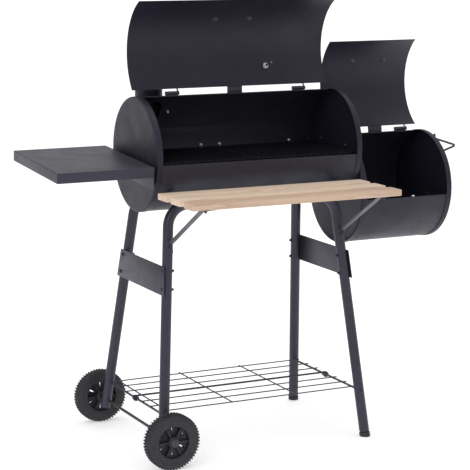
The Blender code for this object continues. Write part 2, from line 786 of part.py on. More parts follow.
def build_front_shelf():
    pitch = (SLAT_REAR - SLAT_FRONT - SLAT_W) / 2
    for i, name in enumerate(("front", "middle", "rear")):
        y0 = SLAT_FRONT + pitch * i
        slat = prism("shelf_slat_" + name, box_outline(SLAT_X[0], SLAT_X[1], y0, y0 + SLAT_W),
                     "Z", SLAT_TOP - SLAT_T, SLAT_TOP, "wood")
        bevel = slat.modifiers.new("edges", "BEVEL")
        bevel.width = SLAT_BEVEL
        bevel.segments = 2

    under = SLAT_TOP - SLAT_T - GAP
    zc = under - BRACKET_T / 2
    foot_r = SHELL_R + GAP + BRACKET_T / 2
    start = math.degrees(math.asin((zc - MAIN_Z) / foot_r))
    wrap = arc(foot_r, BRACKET_TOP_TH, 180.0 - start, 3.0, (0.0, MAIN_Z))
    path = wrap + [(SLAT_FRONT + 0.008, zc)]
    for side, x in BRACKET_XS:
        prism("shelf_bracket_" + side, strip_outline(path, BRACKET_T), "X",
              x - BRACKET_W / 2, x + BRACKET_W / 2, "black_paint")
        build_strut(side, zc - BRACKET_T / 2 - GAP)


def build_strut(side, under):
    """Flat bar from the leg's front face up to the shelf bracket."""
    face = -leg_y(STRUT_Z) - TUBE_R / math.cos(math.atan(LEG_LEAN)) - GAP - STRUT_T / 2
    low = STRUT_Z - 0.012
    high = STRUT_Z + 0.010
    path = [(face + LEG_LEAN * (low - STRUT_Z), low),
            (face + LEG_LEAN * (high - STRUT_Z), high),
            (STRUT_TOP_Y[0], under - STRUT_T / 2), (STRUT_TOP_Y[1], under - STRUT_T / 2)]
    middle = leg_x(side, STRUT_Z)
    prism("shelf_strut_" + side, strip_outline(path, STRUT_T), "X",
          middle - STRUT_W / 2, middle + STRUT_W / 2, "black_paint")


# ---------------------------------------------------------------- stand

def leg_frame(name, sign):
    """Front (-1) or rear (+1) pair of legs bent from one tube."""
    def on_leg(side, z):
        return leg_x(side, z), sign * leg_y(z), z

    path = fillet([on_leg("left", LEFT_END_Z), on_leg("left", LEG_TOP_Z),
                   on_leg("right", LEG_TOP_Z), on_leg("right", FOOT_H)], LEG_BEND, 6)
    mesh = tube_mesh(path, TUBE_R, 2, caps=False)
    frame = add_object(name, mesh, "black_paint")
    wall = frame.modifiers.new("wall", "SOLIDIFY")
    wall.thickness = TUBE_T
    wall.offset = -1.0
    apply_modifiers(frame)
    y = sign * LEG_Y0
    axle_x = leg_x("left", WHEEL_R)
    cut(frame, cylinder_mesh((axle_x, y - 0.05, WHEEL_R), (axle_x, y + 0.05, WHEEL_R),
                             AXLE_R + GAP, 16))
    for side in ("left", "right"):
        rx = leg_x(side, ROD_Z)
        cut(frame, cylinder_mesh((rx, y - 0.06, ROD_Z), (rx, y + 0.06, ROD_Z),
                                 ROD_R + GAP, 12))
    smooth(frame)


def brace(side):
    lean = LEFT_LEAN if side == "left" else RIGHT_LEAN
    out = -1.0 if side == "left" else 1.0
    z0, z1 = BRACE_Z
    y0, y1 = leg_y(z0) + 0.016, leg_y(z1) + 0.015
    outline = [(-y0, z0), (y0, z0), (y1, z1), (-y1, z1)]
    near = TUBE_R / math.cos(math.atan(lean)) + GAP
    base = leg_x(side, 0.0)
    plate = prism("leg_brace_" + side, outline, "X", base + out * near,
                  base + out * (near + BRACE_T), "black_paint")
    shear = Matrix.Identity(4)
    shear[0][2] = lean
    plate.data.transform(shear)


def foot(name, sign):
    """Plastic plug in the leg's open end, cut level with the ground."""
    x, y = leg_x("right", FOOT_H), sign * leg_y(FOOT_H)
    down = Vector((leg_x("right", 0.0) - x, sign * leg_y(0.0) - y, -FOOT_H)).normalized()
    end = Vector((x, y, FOOT_H))
    plug = TUBE_R - TUBE_T - 0.0012
    profile = [(0.0, 0.018), (plug, 0.018), (plug, -GAP - 0.0024), (TUBE_R + 0.001, -GAP - 0.0024),
               (TUBE_R + 0.001, -0.020), (0.0, -0.020)]
    cap = turned(name, profile, "wheel_plastic", 20)
    apply_modifiers(cap)
    turn = (-down).to_track_quat("Z", "Y").to_matrix().to_4x4()
    cap.data.transform(Matrix.Translation(end) @ turn)
    cut(cap, prism_mesh(box_outline(x - 0.1, x + 0.1, y - 0.1, y + 0.1), "Z", -0.1, 0.0))
    smooth(cap)


def wheel(name, sign):
    half = WHEEL_W / 2
    bore = AXLE_R + GAP
    rim = WHEEL_R
    profile = [(bore, half + 0.004), (0.0130, half + 0.004), (0.0150, half + 0.001),
               (0.0165, WHEEL_WEB), (0.0400, WHEEL_WEB), (0.0430, half - 0.001),
               (0.0460, half), (0.0640, half), (0.0700, half - 0.002), (rim, half - 0.006),
               (rim, 0.006 - half), (0.0700, 0.002 - half), (0.0640, -half), (0.0460, -half),
               (0.0430, 0.001 - half), (0.0400, -WHEEL_WEB), (0.0165, -WHEEL_WEB),
               (0.0150, -half - 0.001), (0.0130, -half - 0.004), (bore, -half - 0.004)]
    body = turned_ring(name, profile, "wheel_plastic", 32)
    apply_modifiers(body)
    place = Matrix.Translation((leg_x("left", WHEEL_R), sign * WHEEL_Y, WHEEL_R))
    turn = Matrix.Rotation(math.radians(90.0), 4, "X")
    slots = []
    for i in range(6):
        mid = 60.0 * i + SLOT_AT
        outline = arc(0.0375, mid - SLOT_HALF[0], mid + SLOT_HALF[0], 4.0)
        outline += arc(0.0205, mid + SLOT_HALF[1], mid - SLOT_HALF[1], 4.0)
        slots.append(prism_mesh(outline, "Z", -0.03, 0.03))
    cut(body, joined_mesh(slots))
    move_mesh(body, place @ turn)
    smooth(body)
    set_origin(body, place.translation)


def build_stand():
    leg_frame("front_leg_frame", -1.0)
    leg_frame("rear_leg_frame", 1.0)
    brace("left")
    brace("right")
    foot("front_foot_cap", -1.0)
    foot("rear_foot_cap", 1.0)
    axle_x = leg_x("left", WHEEL_R)
    bar("axle", [(axle_x, -AXLE_HALF, WHEEL_R), (axle_x, AXLE_HALF, WHEEL_R)], AXLE_R, "zinc")
    wheel("front_wheel", -1.0)
    wheel("rear_wheel", 1.0)


# ---------------------------------------------------------------- low shelf

def build_low_shelf():
    for side in ("left", "right"):
        x = leg_x(side, ROD_Z)
        bar("shelf_rod_" + side, [(x, -ROD_HALF, ROD_Z), (x, ROD_HALF, ROD_Z)], ROD_R,
            "black_paint", 2)
    wire_z = ROD_Z + ROD_R + GAP + WIRE_R
    left, right = leg_x("left", ROD_Z), leg_x("right", ROD_Z)
    wires = []
    for y in WIRE_YS:
        wires.append(cylinder_mesh((left - 0.005, y, wire_z), (right + 0.005, y, wire_z),
                                   WIRE_R, 6))
    hook = ROD_R + GAP + MID_WIRE_R
    loop_left = [(left + a, 0.0, ROD_Z + b) for a, b in arc(hook, 270.0, 90.0, 22.5)]
    loop_right = [(right + a, 0.0, ROD_Z + b) for a, b in arc(hook, 90.0, -90.0, 22.5)]
    wires.append(tube_mesh(loop_left + loop_right, MID_WIRE_R, 1))
    shelf = add_object("low_wire_shelf", joined_mesh(wires), "black_paint")
    cross_z = wire_z + WIRE_R * 0.9
    cross = [cylinder_mesh((x, WIRE_YS[0] - 0.006, cross_z), (x, WIRE_YS[-1] + 0.006, cross_z),
                           CROSS_R, 6) for x in CROSS_XS]
    fuse(shelf, joined_mesh(cross))
    smooth(shelf)


# ---------------------------------------------------------------- grates

def grate(name, x0, x1, z, half_y, pitch):
    """Round bars front to back on three cross rods."""
    rod_z = z + GRATE_ROD_R
    bar_z = rod_z + GRATE_ROD_R * 0.8 + GRATE_BAR_R * 0.6
    count = int(round((x1 - x0 - 2 * GRATE_BAR_R) / pitch))
    bars = []
    for i in range(count + 1):
        x = x0 + GRATE_BAR_R + (x1 - x0 - 2 * GRATE_BAR_R) * i / count
        bars.append(cylinder_mesh((x, -half_y, bar_z), (x, half_y, bar_z), GRATE_BAR_R, 4))
    rods = []
    for y in (-half_y + 0.012, 0.0, half_y - 0.012):
        rods.append(cylinder_mesh((x0, y, rod_z), (x1, y, rod_z), GRATE_ROD_R, 6))
    obj = add_object(name, joined_mesh(rods), "grate_steel")
    fuse(obj, joined_mesh(bars))
    smooth(obj)


def grate_rail(name, sign):
    """Ledge fixed along the barrel's wall that the cooking grates rest on."""
    r = SHELL_R - SHELL_T - GAP - RAIL_T / 2
    z = GRATE_Z - GAP - RAIL_T / 2
    edge = math.degrees(math.asin((z - MAIN_Z) / r))
    low = edge - RAIL_DROP
    wall = arc(r, low, edge, 2.5, (0.0, MAIN_Z))
    path = [(sign * y, z2) for y, z2 in wall] + [(sign * (wall[-1][0] - RAIL_LEDGE), z)]
    outline = strip_outline(path, RAIL_T)
    prism(name, outline, "X", MAIN_X0 + RAIL_INSET, MAIN_X1 - RAIL_INSET, "black_paint")


def build_grates():
    left_end, right_start = GRATE_SPLIT - GRATE_APART, GRATE_SPLIT + GRATE_APART
    grate("cooking_grate_left", -GRATE_END_X, left_end, GRATE_Z, GRATE_HALF_Y, GRATE_PITCH)
    grate("cooking_grate_right", right_start, GRATE_END_X, GRATE_Z, GRATE_HALF_Y, GRATE_PITCH)
    grate_rail("grate_rail_front", -1.0)
    grate_rail("grate_rail_rear", 1.0)
    grate("charcoal_grate", FIRE_X0 + FIRE_GRATE_INSET, FIRE_X1 - FIRE_GRATE_INSET,
          FIRE_GRATE_Z, FIRE_GRATE_HALF_Y, FIRE_GRATE_PITCH)


def centre_on_origin():
    for obj in list(PARTS.objects) + list(CUTTERS.objects):
        obj.location -= Vector((CENTRE_X, CENTRE_Y, 0.0))


build_drums()
build_lids()
build_chimney()
build_damper()
build_table()
build_front_shelf()
build_stand()
build_low_shelf()
build_grates()
centre_on_origin()
bpy.context.view_layer.update()
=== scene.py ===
"""Offset smoker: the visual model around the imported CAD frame.

Metres, in the row frame: +X runs along the barrel to the firebox, -Y is the front,
+Z is up. Every CAD node is stood for by a detailed piece that rides on its body.
"""
import json
import math
import random

import bmesh
import bpy
from mathutils import Matrix, Vector


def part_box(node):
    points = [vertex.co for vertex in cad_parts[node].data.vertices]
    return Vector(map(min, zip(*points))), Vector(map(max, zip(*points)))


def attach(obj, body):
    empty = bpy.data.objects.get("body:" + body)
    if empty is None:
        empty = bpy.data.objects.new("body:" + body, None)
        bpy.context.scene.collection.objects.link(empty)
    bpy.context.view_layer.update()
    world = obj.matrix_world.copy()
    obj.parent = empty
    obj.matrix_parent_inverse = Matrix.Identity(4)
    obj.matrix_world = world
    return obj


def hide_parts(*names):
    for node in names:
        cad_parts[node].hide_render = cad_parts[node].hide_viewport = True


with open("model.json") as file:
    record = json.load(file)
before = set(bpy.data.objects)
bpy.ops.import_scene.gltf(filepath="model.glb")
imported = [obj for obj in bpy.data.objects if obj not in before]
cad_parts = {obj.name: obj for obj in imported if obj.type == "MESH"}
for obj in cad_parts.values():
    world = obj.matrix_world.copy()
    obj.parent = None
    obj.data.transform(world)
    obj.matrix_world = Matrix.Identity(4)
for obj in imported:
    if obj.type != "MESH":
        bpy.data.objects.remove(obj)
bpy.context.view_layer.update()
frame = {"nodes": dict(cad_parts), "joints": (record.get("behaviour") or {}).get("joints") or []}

random.seed(11)
CAD = frame["nodes"]
JOINTS = {j["name"]: j for j in frame["joints"]}

# ---------------------------------------------------------------- sizes that the frame gives

GAP = 0.0003


def box_of(node):
    low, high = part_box(node)
    return low, high, (low + high) / 2


MAIN_LOW, MAIN_HIGH, MAIN_MID = box_of("main_left_cap")
_, FIRE_HIGH, FIRE_MID = box_of("firebox_right_cap")
YC = MAIN_MID.y                                  # the barrel's axis, in plan
MAIN_Z = MAIN_MID.z
FIRE_Z = FIRE_MID.z
MAIN_X0 = MAIN_LOW.x
MAIN_X1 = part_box("main_right_cap")[1].x
FIRE_X0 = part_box("firebox_left_cap")[0].x
FIRE_X1 = FIRE_HIGH.x
XC = (MAIN_X0 + MAIN_X1) / 2                     # middle of the barrel
CAP_R = (MAIN_HIGH.z - MAIN_LOW.z) / 2
CAP_T = 0.0012
CAP_RIM = MAIN_HIGH.x - MAIN_LOW.x
CAP_BEND = 0.0045
SHELL_R = CAP_R - CAP_T - GAP
SHELL_T = 0.0015
MOUTH = (84.4, 185.4)                            # degrees from +Y
LID_IN_R = 0.1508
LID_T = 0.0012
LID_ARC = (82.6, 186.0)
MAIN_PIN = Vector(JOINTS["main_lid_hinge"]["pos_m"])
FIRE_PIN = Vector(JOINTS["firebox_lid_hinge"]["pos_m"])
MAIN_OPEN = 121.1
FIRE_OPEN = 136.0

TUBE_R = 0.0135
LEG_TOP_Z = 0.653
LEG_Y0 = 0.207
LEG_LEAN = 0.1531
LEFT_X0 = XC - 0.3134
LEFT_LEAN = 0.0982
RIGHT_X0 = XC + 0.2825
RIGHT_LEAN = -0.0740
ROD_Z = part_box("shelf_rod_left")[0].z + 0.003

TUBE_T = 0.0013
LEG_ENDS_Z = (0.052, 0.014)                      # lower ends of the left and right tubes
LEG_BEND = 0.060
BRACE_SCREW_Z = (0.442, 0.489)
STRUT_BOLT_Z = 0.547
STRUT_NUT_Y = 0.3545                             # in front of the barrel's axis

SHEET_T = 0.0015                                 # hinges, chimney flange and leg braces
STRAP_T = 0.0020                                 # lid stops and shelf brackets
THERMO_HOLE_R = 0.0055
CHIM_HOLE_R = 0.0335
DAMPER_R = 0.054
DAMPER_SHUT = 45.0                               # puts the disc's holes between the cap's
VENT_RING = 0.032                                # circle that the holes' centres lie on
VENT_R = 0.011
KNOB_IN = 0.007                                  # from the disc's edge
KNOB_TH = 214.0

# where fixings and welds sit: TH is degrees round a drum, DX metres along it
RAIL_TH = -1.6
RAIL_DX = (-0.255, -0.040, 0.016, 0.231)
BRACKET_SCREW_TH = 215.5
FLANGE_SCREW_TH = 40.6
FLANGE_SCREW_DX = (-0.0545, 0.0545)
LIP_NUT = (0.461, 185.6)                         # metres from XC, degrees
STOP_WELD_TH = (64.5, 69.5)
LEAF_WELD_TH = (88.0, 92.5)
BASE_WELD_TH = (68.0,)
DRUM_BOLT_DX = (-0.190, 0.190)
# screws that hold the barrel's right cap to the firebox: metres from YC, height
CAP_JOINTS = ((0.077, 0.780), (-0.060, 0.775), (0.080, 0.655), (-0.080, 0.655))

PAINT, WOOD, ZINC = "black_paint", "wood", "zinc"
GRATE, PLASTIC = "grate_steel", "wheel_plastic"


def leg_x(side, z):
    if side == "left":
        return LEFT_X0 + LEFT_LEAN * z
    return RIGHT_X0 + RIGHT_LEAN * z


def leg_y(sign, z):
    return YC + sign * (LEG_Y0 - LEG_LEAN * z)


# ---------------------------------------------------------------- materials

class Nodes:
    """Small helper that adds and links shader nodes."""

    def __init__(self, name):
        self.mat = bpy.data.materials.new(name)
        self.mat.use_nodes = True
        self.tree = self.mat.node_tree
        self.shader = self.tree.nodes["Principled BSDF"]
        self.coord = self.tree.nodes.new("ShaderNodeTexCoord").outputs["Object"]

    def feed(self, slot, value):
        """Link a socket, or set a number, a vector or a colour."""
        if isinstance(value, bpy.types.NodeSocket):
            self.tree.links.new(value, slot)
        elif isinstance(value, tuple) and slot.type == "RGBA":
            slot.default_value = (*value[:3], 1.0)
        else:
            slot.default_value = value

    def new(self, kind, **inputs):
        node = self.tree.nodes.new("ShaderNode" + kind)
        for name, value in inputs.items():
            self.feed(node.inputs[name.replace("_", " ")], value)
        return node

    def stretched(self, stretch):
        if stretch is None:
            return self.coord
        return self.new("Mapping", Scale=stretch, Vector=self.coord).outputs["Vector"]

    def noise(self, scale, detail=4.0, rough=0.55, stretch=None):
        return self.new("TexNoise", Scale=scale, Detail=detail, Roughness=rough,
                        Vector=self.stretched(stretch)).outputs["Fac"]

    def ramp(self, value, stops):
        node = self.new("ValToRGB", Fac=value)
        for element, (at, colour) in zip(node.color_ramp.elements, stops[:2]):
            element.position = at
            element.color = (*colour, 1.0)
        for at, colour in stops[2:]:
            node.color_ramp.elements.new(at).color = (*colour, 1.0)
        return node.outputs["Color"]

    def span(self, value, low, high, start=0.3, stop=0.7):
        return self.new("MapRange", Value=value, From_Min=start, From_Max=stop,
                        To_Min=low, To_Max=high).outputs["Result"]

    def math(self, kind, a, b):
        node = self.new("Math")
        node.operation = kind
        self.feed(node.inputs[0], a)
        self.feed(node.inputs[1], b)
        return node.outputs["Value"]

    def mix(self, fac, a, b):
        node = self.tree.nodes.new("ShaderNodeMix")
        node.data_type = "RGBA"
        for name, value in (("Factor", fac), ("A", a), ("B", b)):
            self.feed(node.inputs[name], value)
        return node.outputs["Result"]

    def edges(self, radius):
        """1 where a sharp edge or corner is near, 0 on open surfaces."""
        bevel = self.new("Bevel", Radius=radius)
        bevel.samples = 4
        dot = self.new("VectorMath")
        dot.operation = "DOT_PRODUCT"
        self.feed(dot.inputs[0], bevel.outputs["Normal"])
        self.feed(dot.inputs[1], self.new("NewGeometry").outputs["Normal"])
        return self.span(dot.outputs["Value"], 1.0, 0.0, 0.80, 0.99)

    def bump(self, height, strength, distance, **below):
        return self.new("Bump", Strength=strength, Distance=distance, Height=height,
                        **below).outputs["Normal"]

    def done(self, colour, rough, normal, **fixed):
        wanted = {"Base_Color": colour, "Roughness": rough, "Normal": normal, **fixed}
        for name, value in wanted.items():
            if value is not None:
                self.feed(self.shader.inputs[name.replace("_", " ")], value)
        return self.mat


def paint_material(name, dark, light, rough=(0.40, 0.54), grain=1.0, worn=0.35, sooty=0.0,
                   level=0.36):
    """Satin heat-resistant coat: fine texture, faint clouds, scuffs and paler edges."""
    n = Nodes(name)
    clouds = n.noise(5.0, 5.0, 0.6)
    mottle = n.noise(60.0, 3.0, 0.5)
    colour = n.ramp(clouds, ((0.32, dark), (0.70, light)))
    colour = n.mix(n.span(mottle, 0.0, 0.35), colour, tuple(c * 1.25 for c in light))
    scuffs = n.span(n.noise(34.0, 8.0, 0.75, (1.0, 0.25, 1.0)), 0.0, 0.5, 0.62, 0.80)
    colour = n.mix(scuffs, colour, tuple(min(1.0, c * 1.9) for c in light))
    wear = n.math("MULTIPLY", n.edges(0.0011), n.span(n.noise(90.0, 5.0), 0.1, worn))
    colour = n.mix(wear, colour, (0.16, 0.155, 0.16))
    roughness = n.span(n.noise(18.0, 6.0, 0.65), rough[0], rough[1], 0.25, 0.75)
    if sooty:
        soot = n.span(n.noise(9.0, 7.0, 0.7), 0.0, sooty, 0.40, 0.62)
        colour = n.mix(soot, colour, (0.006, 0.006, 0.006))
        roughness = n.math("ADD", roughness, n.math("MULTIPLY", soot, 0.3))
    fine = n.bump(n.noise(1500.0, 2.0, 0.5), 0.10 * grain, 0.0004)
    waves = n.bump(n.noise(26.0, 2.0, 0.4), 0.10 * grain, 0.002, Normal=fine)
    return n.done(colour, roughness, waves, Specular_IOR_Level=level,
                  Specular_Tint=(0.86, 0.83, 1.0))


def wood_material(name, tones, seed):
    """Pale sawn softwood, grain along X, darker late wood and a few pores."""
    n = Nodes(name)
    shift = (seed * 1.7, seed * 0.9, seed * 0.33)
    n.coord = n.new("Mapping", Location=shift, Vector=n.coord).outputs["Vector"]
    wave = n.new("TexWave", Scale=30.0, Distortion=9.0, Detail=4.0, Detail_Scale=1.6,
                 Vector=n.stretched((0.09, 1.0, 0.8)))
    wave.wave_type = "BANDS"
    wave.bands_direction = "Y"
    wave.wave_profile = "SAW"
    rings = n.ramp(wave.outputs["Fac"], ((0.0, tones[0]), (0.55, tones[1]), (0.97, tones[2])))
    fibres = n.noise(1.0, 9.0, 0.7, (9.0, 420.0, 420.0))
    colour = n.mix(n.span(fibres, 0.0, 0.55), rings, tones[2])
    blotch = n.noise(1.0, 4.0, 0.6, (3.0, 16.0, 16.0))
    colour = n.mix(n.span(blotch, 0.0, 0.6), colour, tones[3])
    pores = n.span(n.noise(1.0, 6.0, 0.8, (26.0, 900.0, 900.0)), 0.0, 0.55, 0.66, 0.78)
    colour = n.mix(pores, colour, tuple(c * 0.45 for c in tones[2]))
    dirt = n.math("MULTIPLY", n.edges(0.0012), n.span(n.noise(70.0, 4.0), 0.0, 0.5))
    colour = n.mix(dirt, colour, tuple(c * 0.6 for c in tones[2]))
    roughness = n.span(fibres, 0.50, 0.72)
    ridges = n.bump(n.math("ADD", fibres, n.math("MULTIPLY", wave.outputs["Fac"], 0.5)),
                    0.30, 0.0005)
    return n.done(colour, roughness, ridges)


def metal_material(name, dark, light, rough):
    n = Nodes(name)
    clouds = n.noise(140.0, 5.0, 0.6)
    colour = n.ramp(clouds, ((0.30, dark), (0.68, light)))
    roughness = n.span(n.noise(320.0, 4.0, 0.7), rough[0], rough[1])
    return n.done(colour, roughness, n.bump(n.noise(900.0, 2.0), 0.12, 0.0003), Metallic=1.0)


def plastic_material(name, dark, light, rough):
    n = Nodes(name)
    colour = n.ramp(n.noise(24.0, 6.0, 0.65), ((0.30, dark), (0.72, light)))
    dust = n.span(n.noise(150.0, 6.0, 0.75), 0.0, 0.35, 0.52, 0.78)
    colour = n.mix(dust, colour, (0.10, 0.098, 0.105))
    wear = n.math("MULTIPLY", n.edges(0.0010), n.span(n.noise(120.0, 4.0), 0.15, 0.55))
    colour = n.mix(wear, colour, (0.11, 0.108, 0.115))
    roughness = n.span(n.noise(60.0, 5.0), rough[0], rough[1])
    return n.done(colour, roughness, n.bump(n.noise(1100.0, 3.0), 0.25, 0.0004))


def enamel_material(name, dark, light, rough):
    n = Nodes(name)
    colour = n.ramp(n.noise(90.0, 4.0), ((0.3, dark), (0.7, light)))
    return n.done(colour, n.span(n.noise(50.0, 3.0), rough[0], rough[1]),
                  n.bump(n.noise(400.0, 2.0), 0.05, 0.0002))


def glass_material(name):
    n = Nodes(name)
    return n.done(None, n.span(n.noise(40.0, 3.0), 0.02, 0.10), None,
                  Transmission_Weight=1.0, IOR=1.12)


M = {
    "paint": paint_material("satin_black_paint", (0.0100, 0.0098, 0.0175),
                            (0.0150, 0.0145, 0.0240)),
    "frame": paint_material("frame_black_paint", (0.0210, 0.0206, 0.0310),
                            (0.0290, 0.0284, 0.0410), (0.36, 0.50), 0.8, 0.45, 0.0, 0.50),
    "drum": paint_material("drum_black_paint", (0.0150, 0.0146, 0.0210),
                           (0.0215, 0.0208, 0.0290), (0.40, 0.56), 1.0, 0.30, 0.25, 0.45),
    "grate": paint_material("coated_wire", (0.0060, 0.0060, 0.0080),
                            (0.0110, 0.0108, 0.0140), (0.34, 0.50), 1.0, 0.20, 0.3, 0.35),
    "zinc": metal_material("zinc_plating", (0.50, 0.50, 0.52), (0.74, 0.75, 0.77),
                           (0.22, 0.40)),
    "rod": metal_material("plated_rod", (0.40, 0.40, 0.42), (0.58, 0.58, 0.60),
                          (0.24, 0.42)),
    "dull": metal_material("dull_plating", (0.060, 0.060, 0.066), (0.110, 0.110, 0.118),
                           (0.42, 0.60)),
    "wheel": plastic_material("wheel_plastic", (0.0110, 0.0108, 0.0160),
                              (0.0180, 0.0176, 0.0240), (0.44, 0.62)),
    "dial": enamel_material("dial_enamel", (0.72, 0.72, 0.68), (0.82, 0.82, 0.79),
                            (0.25, 0.40)),
    "ink": enamel_material("dial_ink", (0.010, 0.010, 0.010), (0.030, 0.030, 0.030),
                           (0.35, 0.50)),
    "red": enamel_material("dial_red", (0.42, 0.020, 0.015), (0.55, 0.040, 0.030),
                           (0.30, 0.45)),
    "glass": glass_material("dial_glass"),
}
TONES = (
    ((0.66, 0.49, 0.37), (0.59, 0.42, 0.30), (0.46, 0.30, 0.20), (0.66, 0.50, 0.39)),
    ((0.82, 0.68, 0.55), (0.76, 0.60, 0.46), (0.61, 0.45, 0.32), (0.74, 0.57, 0.44)),
    ((0.77, 0.60, 0.46), (0.69, 0.52, 0.38), (0.52, 0.36, 0.24), (0.81, 0.68, 0.56)),
    ((0.60, 0.38, 0.22), (0.50, 0.30, 0.16), (0.34, 0.19, 0.10), (0.56, 0.36, 0.21)),
)
for i, part in enumerate(("front", "middle", "rear", "grip")):
    M["wood_" + part] = wood_material("wood_" + part, TONES[i], 1.0 + 3.1 * i)


SLOTS = {key: ZINC for key in ("zinc", "rod", "dull", "dial", "ink", "red", "glass")}
SLOTS.update({key: PAINT for key in ("paint", "frame", "drum")})
SLOTS.update({key: WOOD for key in M if key.startswith("wood_")})
SLOTS.update({"wheel": PLASTIC, "grate": GRATE})


# ---------------------------------------------------------------- mesh tools

def polar(radius, degrees, centre=(0.0, 0.0)):
    a = math.radians(degrees)
    return centre[0] + radius * math.cos(a), centre[1] + radius * math.sin(a)


def arc(radius, start, stop, step=2.0, centre=(0.0, 0.0)):
    n = max(1, math.ceil(abs(stop - start) / step - 0.001))
    return [polar(radius, start + (stop - start) * i / n, centre) for i in range(n + 1)]


def facing(where, out, spin=0.0):
    """Matrix that stands local +Z along out at a point."""
    turn = Vector(out).to_track_quat("Z", "Y").to_matrix().to_4x4()
    return Matrix.Translation(Vector(where)) @ turn @ Matrix.Rotation(spin, 4, "Z")


def about_x(degrees, y, z):
    pivot = Vector((0.0, y, z))
    turn = Matrix.Rotation(math.radians(degrees), 4, "X")
    return Matrix.Translation(pivot) @ turn @ Matrix.Translation(-pivot)


def band(bm, a, b):
    """Faces between two rings; either ring may be a single point."""
    count = max(len(a), len(b))
    for i in range(count):
        j = (i + 1) % count
        corners = [a[i % len(a)], a[j % len(a)], b[j % len(b)], b[i % len(b)]]
        face = list(dict.fromkeys(corners))
        if len(face) > 2:
            bm.faces.new(face)


def lathe(bm, profile, steps, matrix=None, ring=False):
    """Turned solid from (radius, height) points; ring closes the profile on itself."""
    matrix = matrix or Matrix()
    rings = []
    for r, h in profile:
        if r < 1e-7:
            rings.append([bm.verts.new(matrix @ Vector((0.0, 0.0, h)))])
            continue
        turn = [2 * math.pi * k / steps for k in range(steps)]
        rings.append([bm.verts.new(matrix @ Vector((r * math.cos(a), r * math.sin(a), h)))
                      for a in turn])
    for a, b in zip(rings, rings[1:] + (rings[:1] if ring else [])):
        band(bm, a, b)


def rings_along(bm, points, radius, sides, normal=None, loop=False):
    """A ring of vertices square to the path at each of its points."""
    pts = [Vector(p) for p in points]
    count = len(pts)
    rings = []
    for i, p in enumerate(pts):
        before = pts[i - 1] if (i or loop) else p
        after = pts[(i + 1) % count] if (i < count - 1 or loop) else p
        ahead = (after - before).normalized()
        if normal is None:
            normal = ahead.orthogonal().normalized()
        normal = (normal - ahead * normal.dot(ahead)).normalized()
        side = ahead.cross(normal)
        rings.append([bm.verts.new(p + (normal * math.cos(a) + side * math.sin(a)) * radius)
                      for a in (2 * math.pi * k / sides for k in range(sides))])
    return rings


def sweep(bm, points, radius, sides=12, loop=False):
    """Round bar along a path, with flat closed ends unless it is a loop."""
    rings = rings_along(bm, points, radius, sides, loop=loop)
    for a, b in zip(rings, rings[1:] + (rings[:1] if loop else [])):
        band(bm, a, b)
    if not loop:
        bm.faces.new(rings[0][::-1])
        bm.faces.new(rings[-1])


def prism(bm, outline, axis, low, high, matrix=None):
    """Solid of a flat outline pushed along one axis."""
    order = {"X": (2, 0, 1), "Y": (0, 2, 1), "Z": (0, 1, 2)}[axis]
    matrix = matrix or Matrix()

    def place(a, b, h):
        raw = (a, b, h)
        return matrix @ Vector(raw[i] for i in order)

    lower = [bm.verts.new(place(a, b, low)) for a, b in outline]
    upper = [bm.verts.new(place(a, b, high)) for a, b in outline]
    bm.faces.new(lower[::-1])
    bm.faces.new(upper)
    for i in range(len(outline)):
        j = (i + 1) % len(outline)
        bm.faces.new((lower[i], lower[j], upper[j], upper[i]))


def block(bm, low, high, matrix=None):
    prism(bm, [(low[0], low[1]), (high[0], low[1]), (high[0], high[1]), (low[0], high[1])],
          "Z", low[2], high[2], matrix)


def soften(bm, width, segments=2):
    """Round every sharp edge a little."""
    bmesh.ops.recalc_face_normals(bm, faces=bm.faces)
    limit = math.radians(38.0)
    sharp = [e for e in bm.edges if len(e.link_faces) == 2 and e.calc_face_angle(0.0) > limit]
    bmesh.ops.bevel(bm, geom=sharp, offset=width, segments=segments, profile=0.5,
                    affect="EDGES", clamp_overlap=True)


def to_mesh(bm, name, angle=35.0):
    bmesh.ops.recalc_face_normals(bm, faces=bm.faces)
    mesh = bpy.data.meshes.new(name)
    bm.to_mesh(mesh)
    bm.free()
    mesh.shade_smooth()
    mesh.set_sharp_from_angle(angle=math.radians(angle))
    return mesh


def stamp(bm, mesh, matrix):
    """Add a copy of a small ready mesh."""
    start = len(bm.verts)
    bm.from_mesh(mesh)
    bm.verts.ensure_lookup_table()
    bmesh.ops.transform(bm, matrix=matrix, verts=bm.verts[start:])


def combined(mesh_a, mesh_b):
    """One mesh with another cut out of it."""
    made = []
    for mesh in (mesh_a, mesh_b):
        obj = bpy.data.objects.new("boolean_part", mesh)
        bpy.context.scene.collection.objects.link(obj)
        made.append(obj)
    mod = made[0].modifiers.new("cut", "BOOLEAN")
    mod.operation = "DIFFERENCE"
    mod.solver = "EXACT"
    mod.object = made[1]
    graph = bpy.context.evaluated_depsgraph_get()
    graph.update()
    result = bpy.data.meshes.new_from_object(made[0].evaluated_get(graph))
    for obj in made:
        bpy.data.objects.remove(obj, do_unlink=True)
    result.shade_smooth()
    result.set_sharp_from_angle(angle=math.radians(35.0))
    return result


def piece(name, mesh, material, nodes=(), body="stand"):
    """A visible piece, from a mesh or a bmesh, that may stand for CAD nodes."""
    if isinstance(mesh, bmesh.types.BMesh):
        mesh = to_mesh(mesh, name)
    obj = bpy.data.objects.new(name, mesh)
    bpy.context.scene.collection.objects.link(obj)
    mesh.materials.clear()
    mesh.materials.append(M[material])
    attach(obj, body)
    if nodes:
        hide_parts(*nodes)
    return obj


